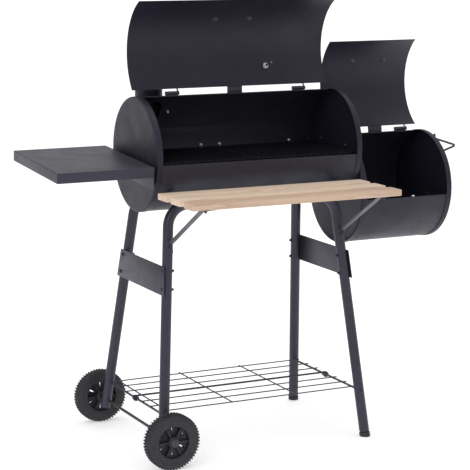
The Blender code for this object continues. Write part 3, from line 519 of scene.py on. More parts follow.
def refined(node, material, width=0.0004, segments=2, body="stand"):
    """A CAD node's own shape with its faces cleaned and its edges rounded."""
    bm = bmesh.new()
    bm.from_mesh(CAD[node].data)
    bmesh.ops.remove_doubles(bm, verts=bm.verts, dist=0.00002)
    bmesh.ops.dissolve_limit(bm, angle_limit=math.radians(1.0), verts=bm.verts,
                             edges=bm.edges)
    soften(bm, width, segments)
    piece(node + "_detail", bm, material, (node,), body)


def fillet(points, radius, steps=8):
    """Round the inner corners of a path."""
    pts = [Vector(p) for p in points]
    out = [pts[0]]
    for i in range(1, len(pts) - 1):
        a = (pts[i - 1] - pts[i]).normalized()
        b = (pts[i + 1] - pts[i]).normalized()
        half = a.angle(b) / 2
        back = radius / math.tan(half)
        start = pts[i] + a * back
        centre = pts[i] + (a + b).normalized() * (radius / math.sin(half))
        first = start - centre
        last = pts[i] + b * back - centre
        axis = first.cross(last).normalized()
        sweep_angle = first.angle(last)
        for k in range(steps + 1):
            out.append(centre + Matrix.Rotation(sweep_angle * k / steps, 3, axis) @ first)
    out.append(pts[-1])
    return out


# ---------------------------------------------------------------- fixings

def screw_mesh():
    """Pan head with a cross recess, seated on z = 0."""
    radius, height = 0.0050, 0.0027
    bm = bmesh.new()
    dome = [(0.0, height)]
    dome += [(radius * f, height * (1.0 - 0.32 * f ** 3)) for f in (0.35, 0.6, 0.8, 0.92)]
    dome += [(radius, height * 0.45), (radius, 0.0), (0.0, 0.0)]
    lathe(bm, dome, 28)
    head = to_mesh(bm, "pan_head")
    bm = bmesh.new()
    arm, half = radius * 0.52, radius * 0.11
    block(bm, (-arm, -half, height * 0.45), (arm, half, height * 2))
    cross = to_mesh(bm, "cross_a")
    head = combined(head, cross)
    bm = bmesh.new()
    block(bm, (-half, -arm, height * 0.45), (half, arm, height * 2))
    return combined(head, to_mesh(bm, "cross_b"))


def nut_mesh(radius=0.0046, height=0.0036, stub=0.0030, washer=0.0058):
    """Washer, chamfered hexagon nut and the end of a threaded bolt, on z = 0."""
    bm = bmesh.new()
    lathe(bm, [(0.0024, 0.0), (washer, 0.0), (washer, 0.0007), (washer - 0.0002, 0.0009),
               (0.0024, 0.0009)], 28, ring=True)
    seat = 0.0010
    lathe(bm, [(0.0024, seat), (radius * 0.9, seat), (radius, seat + radius * 0.1),
               (radius, seat + height - radius * 0.12), (radius * 0.88, seat + height),
               (0.0024, seat + height)], 6, ring=True)
    thread = [(0.0, seat + height + stub)]
    turns = 7
    pitch = (height + stub) / turns
    for i in range(turns):
        z = seat + height + stub - pitch * i
        thread += [(0.0020, z - pitch * 0.05), (0.0024, z - pitch * 0.5)]
    thread += [(0.0020, 0.0002), (0.0, 0.0002)]
    lathe(bm, thread, 14)
    return to_mesh(bm, "nut", 28.0)


def hex_head_mesh():
    """Hexagon head on a washer, seated on z = 0."""
    radius, height, washer = 0.0056, 0.0036, 0.0074
    bm = bmesh.new()
    lathe(bm, [(0.0, 0.0), (washer, 0.0), (washer, 0.0008), (washer - 0.0003, 0.0011),
               (0.0, 0.0011)], 32)
    lathe(bm, [(0.0, 0.0012), (radius, 0.0012), (radius, 0.0012 + height * 0.82),
               (radius * 0.86, 0.0012 + height), (0.0, 0.0012 + height)], 6)
    return to_mesh(bm, "hex_head", 28.0)


SCREW = screw_mesh()
NUT = nut_mesh()
HEX = hex_head_mesh()
SMALL_NUT = nut_mesh(0.0038, 0.0030, 0.0022, 0.0046)


def fixings(name, kind, places, material, body="stand"):
    """Copies of one fixing at (point, outward direction) places, as one piece."""
    bm = bmesh.new()
    for where, out in places:
        stamp(bm, kind, facing(where, out, random.uniform(0.0, 1.0)))
    mesh = bpy.data.meshes.new(name)
    bm.to_mesh(mesh)
    bm.free()
    mesh.shade_smooth()
    mesh.set_sharp_from_angle(angle=math.radians(28.0))
    piece(name, mesh, material, (), body)


def radial(x, radius, theta, axis_z, inward=False):
    """Point on a drum and the direction that leaves the drum's wall there."""
    y, z = polar(radius, theta, (YC, axis_z))
    cy, cz = polar(1.0, theta)
    sign = -1.0 if inward else 1.0
    return Vector((x, y, z)), Vector((0.0, sign * cy, sign * cz))


# ---------------------------------------------------------------- drums

def drum_shell(node, x0, x1, axis_z, material):
    """Rolled sheet with a folded hem along both edges of the mouth."""
    bm = bmesh.new()
    centre = (YC, axis_z)
    start, stop = MOUTH[1] - 360.0, MOUTH[0]
    outer = arc(SHELL_R, start, stop, 1.5, centre)
    inner = arc(SHELL_R - SHELL_T, start, stop, 1.5, centre)
    prism(bm, outer + inner[::-1], "X", x0, x1)
    soften(bm, 0.0004, 2)
    mesh = to_mesh(bm, node)
    if node == "main_shell":
        hole = bmesh.new()
        where = box_of("chimney_pipe")[2]
        lathe(hole, [(0.0, MAIN_Z), (CHIM_HOLE_R, MAIN_Z), (CHIM_HOLE_R, MAIN_Z + 0.2),
                     (0.0, MAIN_Z + 0.2)], 64, Matrix.Translation((where.x, where.y, 0.0)))
        mesh = combined(mesh, to_mesh(hole, "hole"))
    piece(node + "_detail", mesh, material, (node,))
    hems = bmesh.new()
    for theta, into in ((MOUTH[0] - 0.2, -2.6), (MOUTH[1] + 0.2, 2.6)):
        r = SHELL_R - SHELL_T - GAP
        fold = arc(r, theta, theta + into, 0.9, centre)
        fold += arc(r - 0.0010, theta + into, theta, 0.9, centre)
        prism(hems, fold, "X", x0 + 0.016, x1 - 0.016)
    soften(hems, 0.0003, 2)
    piece(node + "_hems", hems, material)


def cap_mesh(outer_x, inward, axis_z):
    """Pressed end cap: flat face, bend, and a rim with a rounded edge."""
    bend = [(CAP_R - CAP_BEND + a, -CAP_BEND + b) for a, b in arc(CAP_BEND, 90.0, 0.0, 11.25)]
    inner_bend = [(CAP_R - CAP_BEND + a, -CAP_BEND + b)
                  for a, b in arc(CAP_BEND - CAP_T, 0.0, 90.0, 15.0)]
    profile = [(0.0, 0.0), (0.050, 0.0), (0.100, 0.0), (CAP_R - 0.014, 0.0)]
    profile += bend
    profile += [(CAP_R, -CAP_RIM + 0.0005), (CAP_R - 0.0004, -CAP_RIM),
                (CAP_R - CAP_T + 0.0002, -CAP_RIM), (CAP_R - CAP_T, -CAP_RIM + 0.0004)]
    profile += inner_bend
    profile += [(0.100, -CAP_T), (0.050, -CAP_T), (0.0, -CAP_T)]
    bm = bmesh.new()
    turn = Matrix.Rotation(math.radians(-90.0 * inward), 4, "Y")
    place = Matrix.Translation((outer_x, YC, axis_z)) @ turn
    lathe(bm, profile, 144, place)
    return to_mesh(bm, "cap")


def passage_mesh(low, high):
    """Rounded opening that carries the smoke from the firebox to the barrel."""
    r, half, z0, z1 = 0.020, 0.058, 0.672, 0.752
    outline = []
    for start, cy, cz in ((0, half - r, z1 - r), (90, r - half, z1 - r),
                          (180, r - half, z0 + r), (270, half - r, z0 + r)):
        outline += arc(r, start, start + 90, 10.0, (YC + cy, cz))
    bm = bmesh.new()
    prism(bm, outline, "X", low, high)
    return to_mesh(bm, "passage")


def vents_mesh(low, high, turned):
    bm = bmesh.new()
    for i in range(4):
        y, z = polar(VENT_RING, 45.0 + turned + 90.0 * i, (DAMPER.y, DAMPER.z))
        place = Matrix.Translation((low, y, z)) @ Matrix.Rotation(math.radians(90.0), 4, "Y")
        deep = high - low
        lathe(bm, [(0.0, 0.0), (VENT_R, 0.0), (VENT_R, deep), (0.0, deep)], 36, place)
    return to_mesh(bm, "vents")


DAMPER = box_of("damper_rivet")[2]
INSET = CAP_BEND + GAP
drum_shell("main_shell", MAIN_X0 + INSET, MAIN_X1 - INSET, MAIN_Z, "drum")
drum_shell("firebox_shell", FIRE_X0 + INSET, FIRE_X1 - INSET, FIRE_Z, "drum")
piece("main_left_cap_detail", cap_mesh(MAIN_X0, 1, MAIN_Z), "paint", ("main_left_cap",))
piece("main_right_cap_detail",
      combined(cap_mesh(MAIN_X1, -1, MAIN_Z), passage_mesh(MAIN_X1 - 0.01, MAIN_X1 + 0.01)),
      "paint", ("main_right_cap",))
piece("firebox_left_cap_detail",
      combined(cap_mesh(FIRE_X0, 1, FIRE_Z), passage_mesh(FIRE_X0 - 0.01, FIRE_X0 + 0.01)),
      "paint", ("firebox_left_cap",))
piece("firebox_right_cap_detail",
      combined(cap_mesh(FIRE_X1, -1, FIRE_Z), vents_mesh(FIRE_X1 - 0.01, FIRE_X1 + 0.01, 0.0)),
      "paint", ("firebox_right_cap",))

# ---------------------------------------------------------------- lids


def lid(node, axis_z, pin, angle, name_body):
    """Curved sheet, made shut and then laid back on its pin."""
    low, high, _ = box_of(node)
    bm = bmesh.new()
    centre = (YC, axis_z)
    outer = arc(LID_IN_R + LID_T, LID_ARC[0], LID_ARC[1], 1.2, centre)
    inner = arc(LID_IN_R, LID_ARC[0], LID_ARC[1], 1.2, centre)
    prism(bm, outer + inner[::-1], "X", low.x, high.x)
    soften(bm, 0.0004, 2)
    mesh = to_mesh(bm, node)
    if node == "main_lid":
        drill = bmesh.new()
        where, out = radial(THERMO_X, LID_IN_R - 0.03, THERMO_TH, axis_z)
        lathe(drill, [(0.0, 0.0), (THERMO_HOLE_R, 0.0), (THERMO_HOLE_R, 0.06), (0.0, 0.06)], 32,
              facing(where, out))
        mesh = combined(mesh, to_mesh(drill, "drill"))
    mesh.transform(about_x(-angle, pin.y, pin.z))
    piece(node + "_detail", mesh, "paint", (node,), body=name_body)


def lid_handle(prefix, x, theta, axis_z, pin, angle):
    """U of plated rod with a turned wooden grip, and its screws inside the lid."""
    root = LID_IN_R + LID_T + GAP
    opened = about_x(-angle, pin.y, pin.z)
    half_span, out, rod_r = 0.050, 0.040, 0.0035
    y0, z0 = polar(root, theta, (YC, axis_z))
    y1, z1 = polar(root + out, theta, (YC, axis_z))
    path = fillet([(x - half_span, y0, z0), (x - half_span, y1, z1),
                   (x + half_span, y1, z1), (x + half_span, y0, z0)], 0.0065, 8)
    bm = bmesh.new()
    sweep(bm, path, rod_r, 20)
    away = Vector((0.0, y1 - y0, z1 - z0)).normalized()
    for sign in (-1.0, 1.0):
        lathe(bm, [(rod_r + 0.0001, 0.0), (0.0068, 0.0), (0.0068, 0.0010),
                   (0.0052, 0.0022), (rod_r + 0.0001, 0.0026)], 28,
              facing((x + sign * half_span, y0, z0), away), ring=True)
    bmesh.ops.transform(bm, matrix=opened, verts=bm.verts)
    piece(prefix + "_handle_rod_detail", bm, "rod", (prefix + "_handle_rod",), body=prefix)

    bore, grip_r, half = rod_r + GAP, 0.0120, 0.042
    profile = [(bore, half), (grip_r * 0.66, half), (grip_r * 0.76, half - 0.0006),
               (grip_r * 0.80, half - 0.0022), (grip_r * 0.74, half - 0.0034)]
    for i in range(25):
        h = half - 0.0048 - (2 * half - 0.0096) * i / 24
        profile.append((grip_r * (0.86 + 0.14 * math.cos(h / half * 1.4)), h))
    profile += [(grip_r * 0.74, 0.0034 - half), (grip_r * 0.80, 0.0022 - half),
                (grip_r * 0.76, 0.0006 - half), (grip_r * 0.66, -half), (bore, -half)]
    bm = bmesh.new()
    turn = Matrix.Rotation(math.radians(90.0), 4, "Y")
    lathe(bm, profile, 48, opened @ Matrix.Translation((x, y1, z1)) @ turn, ring=True)
    piece(prefix + "_handle_grip_detail", bm, "wood_grip", (prefix + "_handle_grip",), body=prefix)

    inside = []
    for sign in (-1.0, 1.0):
        where, into = radial(x + sign * half_span, LID_IN_R - 0.0002, theta, axis_z, True)
        inside.append((opened @ where, opened.to_3x3() @ into))
    fixings(prefix + "_handle_screws", SCREW, [(w + 0.0011 * d, d) for w, d in inside], "frame",
            body=prefix)
    washers = bmesh.new()
    for where, into in inside:
        lathe(washers, [(0.0, 0.0), (0.0088, 0.0), (0.0088, 0.0006), (0.0082, 0.0010),
                        (0.0, 0.0010)], 36, facing(where, into))
    piece(prefix + "_handle_washers", washers, "frame", body=prefix)


THERMO_X = XC + 0.112
THERMO_TH = 103.7
MAIN_HANDLE = (XC + 0.004, 154.0)
FIRE_HANDLE = (XC + 0.447, 158.0)
lid("main_lid", MAIN_Z, MAIN_PIN, MAIN_OPEN, "main_lid")
lid("firebox_lid", FIRE_Z, FIRE_PIN, FIRE_OPEN, "firebox_lid")
lid_handle("main_lid", *MAIN_HANDLE, MAIN_Z, MAIN_PIN, MAIN_OPEN)
lid_handle("firebox_lid", *FIRE_HANDLE, FIRE_Z, FIRE_PIN, FIRE_OPEN)

for prefix in ("main", "firebox"):
    for side in ("left", "right"):
        node = f"{prefix}_hinge_{side}_"
        refined(node + "base", "frame", 0.0003)
        refined(node + "leaf", "frame", 0.0003, body=prefix + "_lid")
    refined(prefix + "_lid_stop", "frame")


def spot_welds(name, x, thetas, axis_z, radius, body, opened=None):
    """Small dished weld marks where a hinge leaf or stop is fixed to the sheet."""
    bm = bmesh.new()
    opened = opened or Matrix()
    for theta in thetas:
        for dx in (-0.011, 0.011):
            where, out = radial(x + dx, radius, theta, axis_z)
            lathe(bm, [(0.0, 0.0002), (0.0014, 0.0003), (0.0023, 0.0007), (0.0029, 0.0005),
                       (0.0033, 0.0), (0.0, -0.0002)], 24, opened @ facing(where, out))
    piece(name, bm, "frame", body=body)


HINGE_LEAF_OUT = LID_IN_R + LID_T + GAP + SHEET_T
for prefix, axis_z, pin, angle in (("main", MAIN_Z, MAIN_PIN, MAIN_OPEN),
                                   ("firebox", FIRE_Z, FIRE_PIN, FIRE_OPEN)):
    laid_back = about_x(-angle, pin.y, pin.z)
    for side in ("left", "right"):
        x = box_of(f"{prefix}_hinge_{side}_leaf")[2].x
        spot_welds(f"{prefix}_hinge_{side}_leaf_welds", x, LEAF_WELD_TH, axis_z,
                   HINGE_LEAF_OUT, prefix + "_lid", laid_back)
        spot_welds(f"{prefix}_hinge_{side}_base_welds", x, BASE_WELD_TH, axis_z,
                   SHELL_R + GAP + SHEET_T, "stand")
    x = box_of(prefix + "_lid_stop")[2].x
    spot_welds(prefix + "_lid_stop_welds", x, STOP_WELD_TH, axis_z,
               SHELL_R + GAP + STRAP_T, "stand")


def thermometer():
    """Dial in a rolled bezel on the lid, with its threaded stem and nut inside."""
    opened = about_x(-MAIN_OPEN, MAIN_PIN.y, MAIN_PIN.z)
    where, out = radial(THERMO_X, LID_IN_R + LID_T, THERMO_TH, MAIN_Z)
    place = opened @ facing(where, out)
    bm = bmesh.new()
    lathe(bm, [(0.0, 0.0160), (0.0240, 0.0160), (0.0240, 0.0178), (0.0247, 0.0185),
               (0.0262, 0.0185), (0.0272, 0.0178), (0.0275, 0.0165), (0.0275, 0.0095),
               (0.0268, 0.0080), (0.0250, 0.0070), (0.0120, 0.0058), (0.0112, 0.0050),
               (0.0110, 0.0012), (0.0118, 0.0004), (0.0050, 0.0003), (0.0046, -0.0012),
               (0.0050, -0.0024), (0.0046, -0.0036), (0.0050, -0.0048), (0.0046, -0.0060),
               (0.0050, -0.0072), (0.0046, -0.0085), (0.0026, -0.0100), (0.0022, -0.0110),
               (0.0022, -0.0415), (0.0014, -0.0428), (0.0, -0.0430)], 56, place)
    piece("thermometer_case", bm, "zinc", ("thermometer",), body="main_lid")
    bm = bmesh.new()
    lathe(bm, [(0.0, 0.0165), (0.0236, 0.0165), (0.0236, 0.0161), (0.0, 0.0161)], 56, place)
    piece("thermometer_face", bm, "dial", body="main_lid")
    ink = bmesh.new()
    for i in range(41):
        long = i % 5 == 0
        turn = Matrix.Rotation(math.radians(225.0 - 6.75 * i), 4, "Z")
        inner = 0.0180 if long else 0.0198
        wide = 0.00045 if long else 0.00022
        block(ink, (inner, -wide, 0.0165), (0.0216, wide, 0.0168), place @ turn)
    for k in range(9):
        cx, cy = polar(0.0152, 225.0 - 33.75 * k)
        lathe(ink, [(0.0, 0.0168), (0.0008, 0.0168), (0.0008, 0.0165), (0.0, 0.0165)], 12,
              place @ Matrix.Translation((cx, cy, 0.0)))
    piece("thermometer_marks", ink, "ink", body="main_lid")
    needle = bmesh.new()
    turn = Matrix.Rotation(math.radians(216.0), 4, "Z")
    prism(needle, [(-0.0050, -0.0009), (0.0180, -0.0002), (0.0180, 0.0002),
                   (-0.0050, 0.0009)], "Z", 0.0170, 0.0173, place @ turn)
    lathe(needle, [(0.0, 0.0178), (0.0016, 0.0178), (0.0020, 0.0172), (0.0020, 0.0166),
                   (0.0, 0.0166)], 24, place)
    piece("thermometer_needle", needle, "red", body="main_lid")
    glass = bmesh.new()
    lathe(glass, [(0.0, 0.0188), (0.0120, 0.0187), (0.0238, 0.0183), (0.0238, 0.0180),
                  (0.0120, 0.0184), (0.0, 0.0185)], 48, place)
    piece("thermometer_glass", glass, "glass", body="main_lid")
    nut = bmesh.new()
    top = -LID_T - 0.0009
    lathe(nut, [(0.0056, top), (0.0080, top), (0.0087, top - 0.0008), (0.0087, top - 0.0030),
                (0.0080, top - 0.0038), (0.0056, top - 0.0038)], 6, place, ring=True)
    piece("thermometer_nut_detail", to_mesh(nut, "thermometer_nut", 28.0), "zinc",
          ("thermometer_nut",), body="main_lid")


thermometer()

# ---------------------------------------------------------------- chimney


def chimney():
    """Seamed pipe cut to the barrel, its flange with a weld bead, and the rain cap."""
    low, high, mid = box_of("chimney_pipe")
    r = (high.y - low.y) / 2
    wall = 0.0012
    steps = 96
    top = high.z
    bm = bmesh.new()
    rings = []
    for radius, height in ((r - wall, None), (r, None), (r, MAIN_Z + 0.180), (r, top - 0.0005),
                           (r - 0.0004, top), (r - wall + 0.0004, top),
                           (r - wall, top - 0.0005), (r - wall, MAIN_Z + 0.180)):
        ring = []
        for k in range(steps):
            a = 2 * math.pi * k / steps
            x, y = mid.x + radius * math.cos(a), mid.y + radius * math.sin(a)
            reach = (SHELL_R + GAP) ** 2 - (y - YC) ** 2
            z = height if height else MAIN_Z + math.sqrt(max(0.0, reach))
            ring.append(bm.verts.new((x, y, z)))
        rings.append(ring)
    for a, b in zip(rings, rings[1:] + rings[:1]):
        band(bm, a, b)
    piece("chimney_pipe_detail", bm, "paint", ("chimney_pipe",))

    bead = bmesh.new()
    path = []
    for k in range(120):
        a = 2 * math.pi * k / 120
        ring_r = r + 0.0012
        x, y = mid.x + ring_r * math.cos(a), mid.y + ring_r * math.sin(a)
        lift = SHELL_R + GAP + SHEET_T
        path.append((x, y, MAIN_Z + math.sqrt(max(0.0, lift ** 2 - (y - YC) ** 2)) + 0.0008))
    sweep(bead, path, 0.0017, 10, loop=True)
    for v in bead.verts:
        v.co += Vector((random.uniform(-1, 1), random.uniform(-1, 1),
                        random.uniform(-1, 1))) * 0.00016
    seam_y = mid.y + r + 0.0004
    lowest = MAIN_Z + math.sqrt(max(0.0, (SHELL_R + GAP) ** 2 - (seam_y - YC) ** 2)) + 0.012
    sweep(bead, [(mid.x, seam_y, z) for z in (lowest, (lowest + top) / 2, top - 0.004)],
          0.0011, 8)
    piece("chimney_welds", bead, "paint")
    refined("chimney_flange", "paint", 0.0003)
    refined("chimney_cap_ear", "frame", 0.0006)

    post = Vector(JOINTS["chimney_cap_swivel"]["pos_m"])
    lift = top + GAP
    bm = bmesh.new()
    edge = r + 0.0034
    lathe(bm, [(0.0, lift + 0.0030), (edge * 0.5, lift + 0.0027), (edge * 0.8, lift + 0.0020),
               (edge - 0.0010, lift + 0.0014), (edge, lift + 0.0008), (edge - 0.0004, lift),
               (0.0, lift)], 96, Matrix.Translation((mid.x, mid.y, 0.0)))
    disc = to_mesh(bm, "disc")
    bm = bmesh.new()
    prism(bm, [(post.x + a, post.y + b) for a, b in arc(0.0068, 90.0, 270.0, 15.0)]
          + [(mid.x - 0.02, post.y - 0.0070), (mid.x - 0.02, post.y + 0.0070)],
          "Z", lift + 0.0001, lift + 0.0015)
    lathe(bm, [(0.0, lift + 0.0036), (0.0030, lift + 0.0036), (0.0042, lift + 0.0028),
               (0.0042, lift + 0.0010), (0.0, lift + 0.0010)], 28,
          Matrix.Translation((post.x, post.y, 0.0)))
    lathe(bm, [(0.0, lift + 0.0012), (0.0029, lift + 0.0012), (0.0029, top - 0.0270),
               (0.0022, top - 0.0280), (0.0, top - 0.0280)], 28,
          Matrix.Translation((post.x, post.y, 0.0)))
    piece("chimney_cap_detail", joined((disc, to_mesh(bm, "tab")), "chimney_cap"), "paint",
          ("chimney_cap",), body="chimney_cap")
    bolts = [radial(mid.x + dx, SHELL_R + GAP + SHEET_T, FLANGE_SCREW_TH, MAIN_Z)
             for dx in FLANGE_SCREW_DX]
    fixings("chimney_flange_screws", SCREW, bolts, "zinc")
    fixings("chimney_flange_nuts", SMALL_NUT,
            [radial(mid.x + dx, SHELL_R - SHELL_T, FLANGE_SCREW_TH, MAIN_Z, True)
             for dx in FLANGE_SCREW_DX],
            "zinc")


def joined(meshes, name):
    bm = bmesh.new()
    for mesh in meshes:
        bm.from_mesh(mesh)
    return to_mesh(bm, name)


chimney()

# ---------------------------------------------------------------- firebox end


def damper():
    """Turning plate with four vents, a knob, and its rivet."""
    x = FIRE_X1 + GAP
    pivot = Vector((x, DAMPER.y, DAMPER.z))
    turn = Matrix.Translation(pivot) @ Matrix.Rotation(math.radians(90.0), 4, "Y")
    bm = bmesh.new()
    r = DAMPER_R
    lathe(bm, [(0.0034, 0.0), (r, 0.0), (r, 0.0009), (r - 0.0006, 0.0015),
               (r - 0.0040, 0.0015), (0.0034, 0.0015)], 96, turn, ring=True)
    plate = combined(to_mesh(bm, "plate"), vents_mesh(x - 0.01, x + 0.01, DAMPER_SHUT))
    bm = bmesh.new()
    ky, kz = polar(r - KNOB_IN, KNOB_TH, (DAMPER.y, DAMPER.z))
    lathe(bm, [(0.0, 0.0012), (0.0034, 0.0012), (0.0032, 0.0080), (0.0040, 0.0105),
               (0.0045, 0.0130), (0.0045, 0.0180), (0.0038, 0.0197), (0.0, 0.0200)], 32,
          Matrix.Translation((x, ky, kz)) @ Matrix.Rotation(math.radians(90.0), 4, "Y"))
    piece("air_damper_detail", joined((plate, to_mesh(bm, "knob")), "air_damper"), "frame",
          ("air_damper",), body="air_damper")
    bm = bmesh.new()
    lathe(bm, [(0.0, 0.0052), (0.0030, 0.0048), (0.0052, 0.0038), (0.0066, 0.0026),
               (0.0070, 0.0019), (0.0030, 0.0018), (0.0030, -0.0045), (0.0, -0.0047)], 32,
          turn)
    piece("damper_rivet_detail", bm, "zinc", ("damper_rivet",))


def end_handle():
    """Bent wire loop whose ends are welded to the end cap."""
    low, high, mid = box_of("firebox_end_handle")
    wire_r = 0.0029
    y = mid.y
    base, tip = low.x + wire_r, high.x - wire_r * 1.25
    path = fillet([(base, y, high.z), (base, y, mid.z + 0.023), (tip, y, mid.z + 0.002),
                   (tip, y, mid.z - 0.002), (base, y, mid.z - 0.023), (base, y, low.z)],
                  0.0018, 5)
    bm = bmesh.new()
    sweep(bm, path, wire_r, 18)
    piece("firebox_end_handle_detail", to_mesh(bm, "end_handle", 50.0), "frame",
          ("firebox_end_handle",))


damper()
end_handle()

# ---------------------------------------------------------------- table

TABLE_TURN = 3.5
TABLE_TILT = about_x(TABLE_TURN, YC, MAIN_Z)


def rounded_ring(x0, x1, y0, y1, radius, inset):
    r = max(0.0006, radius - inset)
    x0, x1, y0, y1 = x0 + inset, x1 - inset, y0 + inset, y1 - inset
    pts = []
    for start, cx, cy in ((0, x1 - r, y1 - r), (90, x0 + r, y1 - r),
                          (180, x0 + r, y0 + r), (270, x1 - r, y0 + r)):
        pts += arc(r, start, start + 90, 15.0, (cx, cy))
    return pts


def table():
    """Folded sheet tray with rounded edges and a pressed border line."""
    low, high, _ = box_of("side_table")
    x0, x1 = low.x, high.x
    y0, y1 = YC - 0.166, YC + 0.166
    top, skirt, t = 0.772, 0.026, 0.0012
    outside = [(0.0, top - skirt), (0.0, top - 0.0024)]
    outside += [(0.0024 - a, top - 0.0024 + b) for a, b in arc(0.0024, 15.0, 90.0, 15.0)]
    outside += [(0.0145, top), (0.0155, top - 0.00013), (0.0163, top - 0.00035),
                (0.0185, top - 0.00035), (0.0193, top - 0.00013), (0.0203, top),
                (0.060, top)]
    inside = [(0.060, top - t), (0.0195, top - t), (0.0185, top - t - 0.0007),
              (0.0163, top - t - 0.0007), (0.0150, top - t), (0.0030, top - t),
              (t, top - 0.0030), (t, top - skirt)]
    bm = bmesh.new()
    rings = []
    for inset, z in outside + inside:
        pts = rounded_ring(x0, x1, y0, y1, 0.0035, inset)
        rings.append([bm.verts.new((a, b, z)) for a, b in pts])
    middle = len(outside) - 1
    for k, (a, b) in enumerate(zip(rings, rings[1:] + rings[:1])):
        if k != middle:
            band(bm, a, b)
    bm.faces.new(rings[middle])
    bm.faces.new(rings[middle + 1][::-1])
    tray = to_mesh(bm, "tray")
    bm = bmesh.new()
    block(bm, (x1 - t, y0 + 0.004, top - 0.059), (x1, y1 - 0.004, top - 0.004))
    soften(bm, 0.0003, 2)
    mesh = joined((tray, to_mesh(bm, "apron")), "side_table")
    mesh.transform(TABLE_TILT)
    piece("side_table_detail", mesh, "frame", ("side_table",))
    refined("table_mount", "frame", 0.0003)
    heads = []
    for dy in (-0.085, 0.085):
        where = TABLE_TILT @ Vector((x1 - t, YC + dy, 0.736))
        heads.append((where, Vector((-1.0, 0.0, 0.0))))
    fixings("side_table_screws", SCREW, heads, "zinc")


table()

# ---------------------------------------------------------------- front shelf


def slats():
    for part in ("front", "middle", "rear"):
        low, high, _ = box_of("shelf_slat_" + part)
        bm = bmesh.new()
        cuts = 24
        span = high.x - low.x
        outline = rounded_outline(low.y, high.y, low.z, high.z, 0.0024)
        rings = []
        for i in range(cuts + 1):
            x = low.x + span * i / cuts
            rings.append([bm.verts.new((x, a, b)) for a, b in outline])
        for a, b in zip(rings, rings[1:]):
            band(bm, a, b)
        bm.faces.new(rings[0][::-1])
        bm.faces.new(rings[-1])
        bmesh.ops.recalc_face_normals(bm, faces=bm.faces)
        ends = [e for e in bm.edges if abs(e.calc_face_angle(0.0)) > 1.2
                and abs(e.verts[0].co.x - e.verts[1].co.x) < 1e-6]
        bmesh.ops.bevel(bm, geom=ends, offset=0.0011, segments=2, profile=0.5,
                        affect="EDGES", clamp_overlap=True)
        piece(f"shelf_slat_{part}_detail", bm, "wood_" + part, ("shelf_slat_" + part,))


def rounded_outline(a0, a1, b0, b1, r):
    out = []
    for start, ca, cb in ((0, a1 - r, b1 - r), (90, a0 + r, b1 - r),
                          (180, a0 + r, b0 + r), (270, a1 - r, b0 + r)):
        out += arc(r, start, start + 90, 22.5, (ca, cb))
    return out


def shelf_supports():
    heads, nuts, slat_screws = [], [], []
    for side in ("left", "right"):
        refined("shelf_bracket_" + side, "frame")
        refined("shelf_strut_" + side, "frame")
        mid = box_of("shelf_bracket_" + side)[2]
        drum_face = SHELL_R + GAP + STRAP_T
        heads.append(radial(mid.x, drum_face, BRACKET_SCREW_TH, MAIN_Z))
        nuts.append(radial(mid.x, SHELL_R - SHELL_T, BRACKET_SCREW_TH, MAIN_Z, True))
        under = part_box("shelf_slat_front")[0].z - GAP - STRAP_T
        for part in ("front", "middle", "rear"):
            slat_mid = box_of("shelf_slat_" + part)[2]
            slat_screws.append((Vector((mid.x, slat_mid.y, under)), Vector((0, 0, -1))))
    fixings("bracket_screws", SCREW, heads, "frame")
    fixings("bracket_nuts", SMALL_NUT, nuts, "zinc")
    fixings("slat_screws", SCREW, slat_screws, "zinc")
    bolts, ends = [], []
    for side in ("left", "right"):
        _, high, mid = box_of("shelf_strut_" + side)
        z = STRUT_BOLT_Z
        lean = math.atan(LEG_LEAN)
        y = leg_y(-1.0, z) - TUBE_R / math.cos(lean) - GAP - 0.0021
        bolts.append((Vector((mid.x, y, z)), Vector((0.0, -1.0, LEG_LEAN))))
        ends.append((Vector((mid.x, YC - STRUT_NUT_Y, high.z - 0.0021)), Vector((0, 0, -1))))
    fixings("strut_bolts", HEX, bolts, "frame")
    fixings("strut_top_nuts", NUT, ends, "frame")


slats()
shelf_supports()

# ---------------------------------------------------------------- stand


def legs():
    for name, sign in (("front_leg_frame", -1.0), ("rear_leg_frame", 1.0)):
        def on_leg(side, z):
            return leg_x(side, z), leg_y(sign, z), z

        path = fillet([on_leg("left", LEG_ENDS_Z[0]), on_leg("left", LEG_TOP_Z),
                       on_leg("right", LEG_TOP_Z), on_leg("right", LEG_ENDS_Z[1])], LEG_BEND, 14)
        bm = bmesh.new()
        pipe(bm, path, TUBE_R, TUBE_R - TUBE_T, 32)
        piece(name + "_detail", to_mesh(bm, name, 50.0), "frame", (name,))


def pipe(bm, points, outer, inner, sides):
    """Open tube with a wall, along a path."""
    across = Vector((0.0, 1.0, 0.0))
    shells = [rings_along(bm, points, radius, sides, across) for radius in (outer, inner)]
    for rings in shells:
        for a, b in zip(rings, rings[1:]):
            band(bm, a, b)
    for end in (0, -1):
        band(bm, shells[0][end], shells[1][end])


def braces():
    heads, nuts = [], []
    for side, lean, out in (("left", LEFT_LEAN, -1.0), ("right", RIGHT_LEAN, 1.0)):
        refined("leg_brace_" + side, "frame")
        away = Vector((out, 0.0, -out * lean)).normalized()
        reach = TUBE_R / math.cos(math.atan(lean)) + GAP + SHEET_T
        for sign in (-1.0, 1.0):
            for z in BRACE_SCREW_Z:
                axis = Vector((leg_x(side, z), leg_y(sign, z), z))
                heads.append((axis + Vector((out * reach, 0.0, 0.0)), away))
                nuts.append((axis - away * (TUBE_R + 0.0001), -away))
    fixings("brace_screws", SCREW, heads, "frame")
    fixings("brace_nuts", SMALL_NUT, nuts, "frame")


def feet():
    for node in ("front_foot_cap", "rear_foot_cap"):
        refined(node, "wheel", 0.0008, 3)


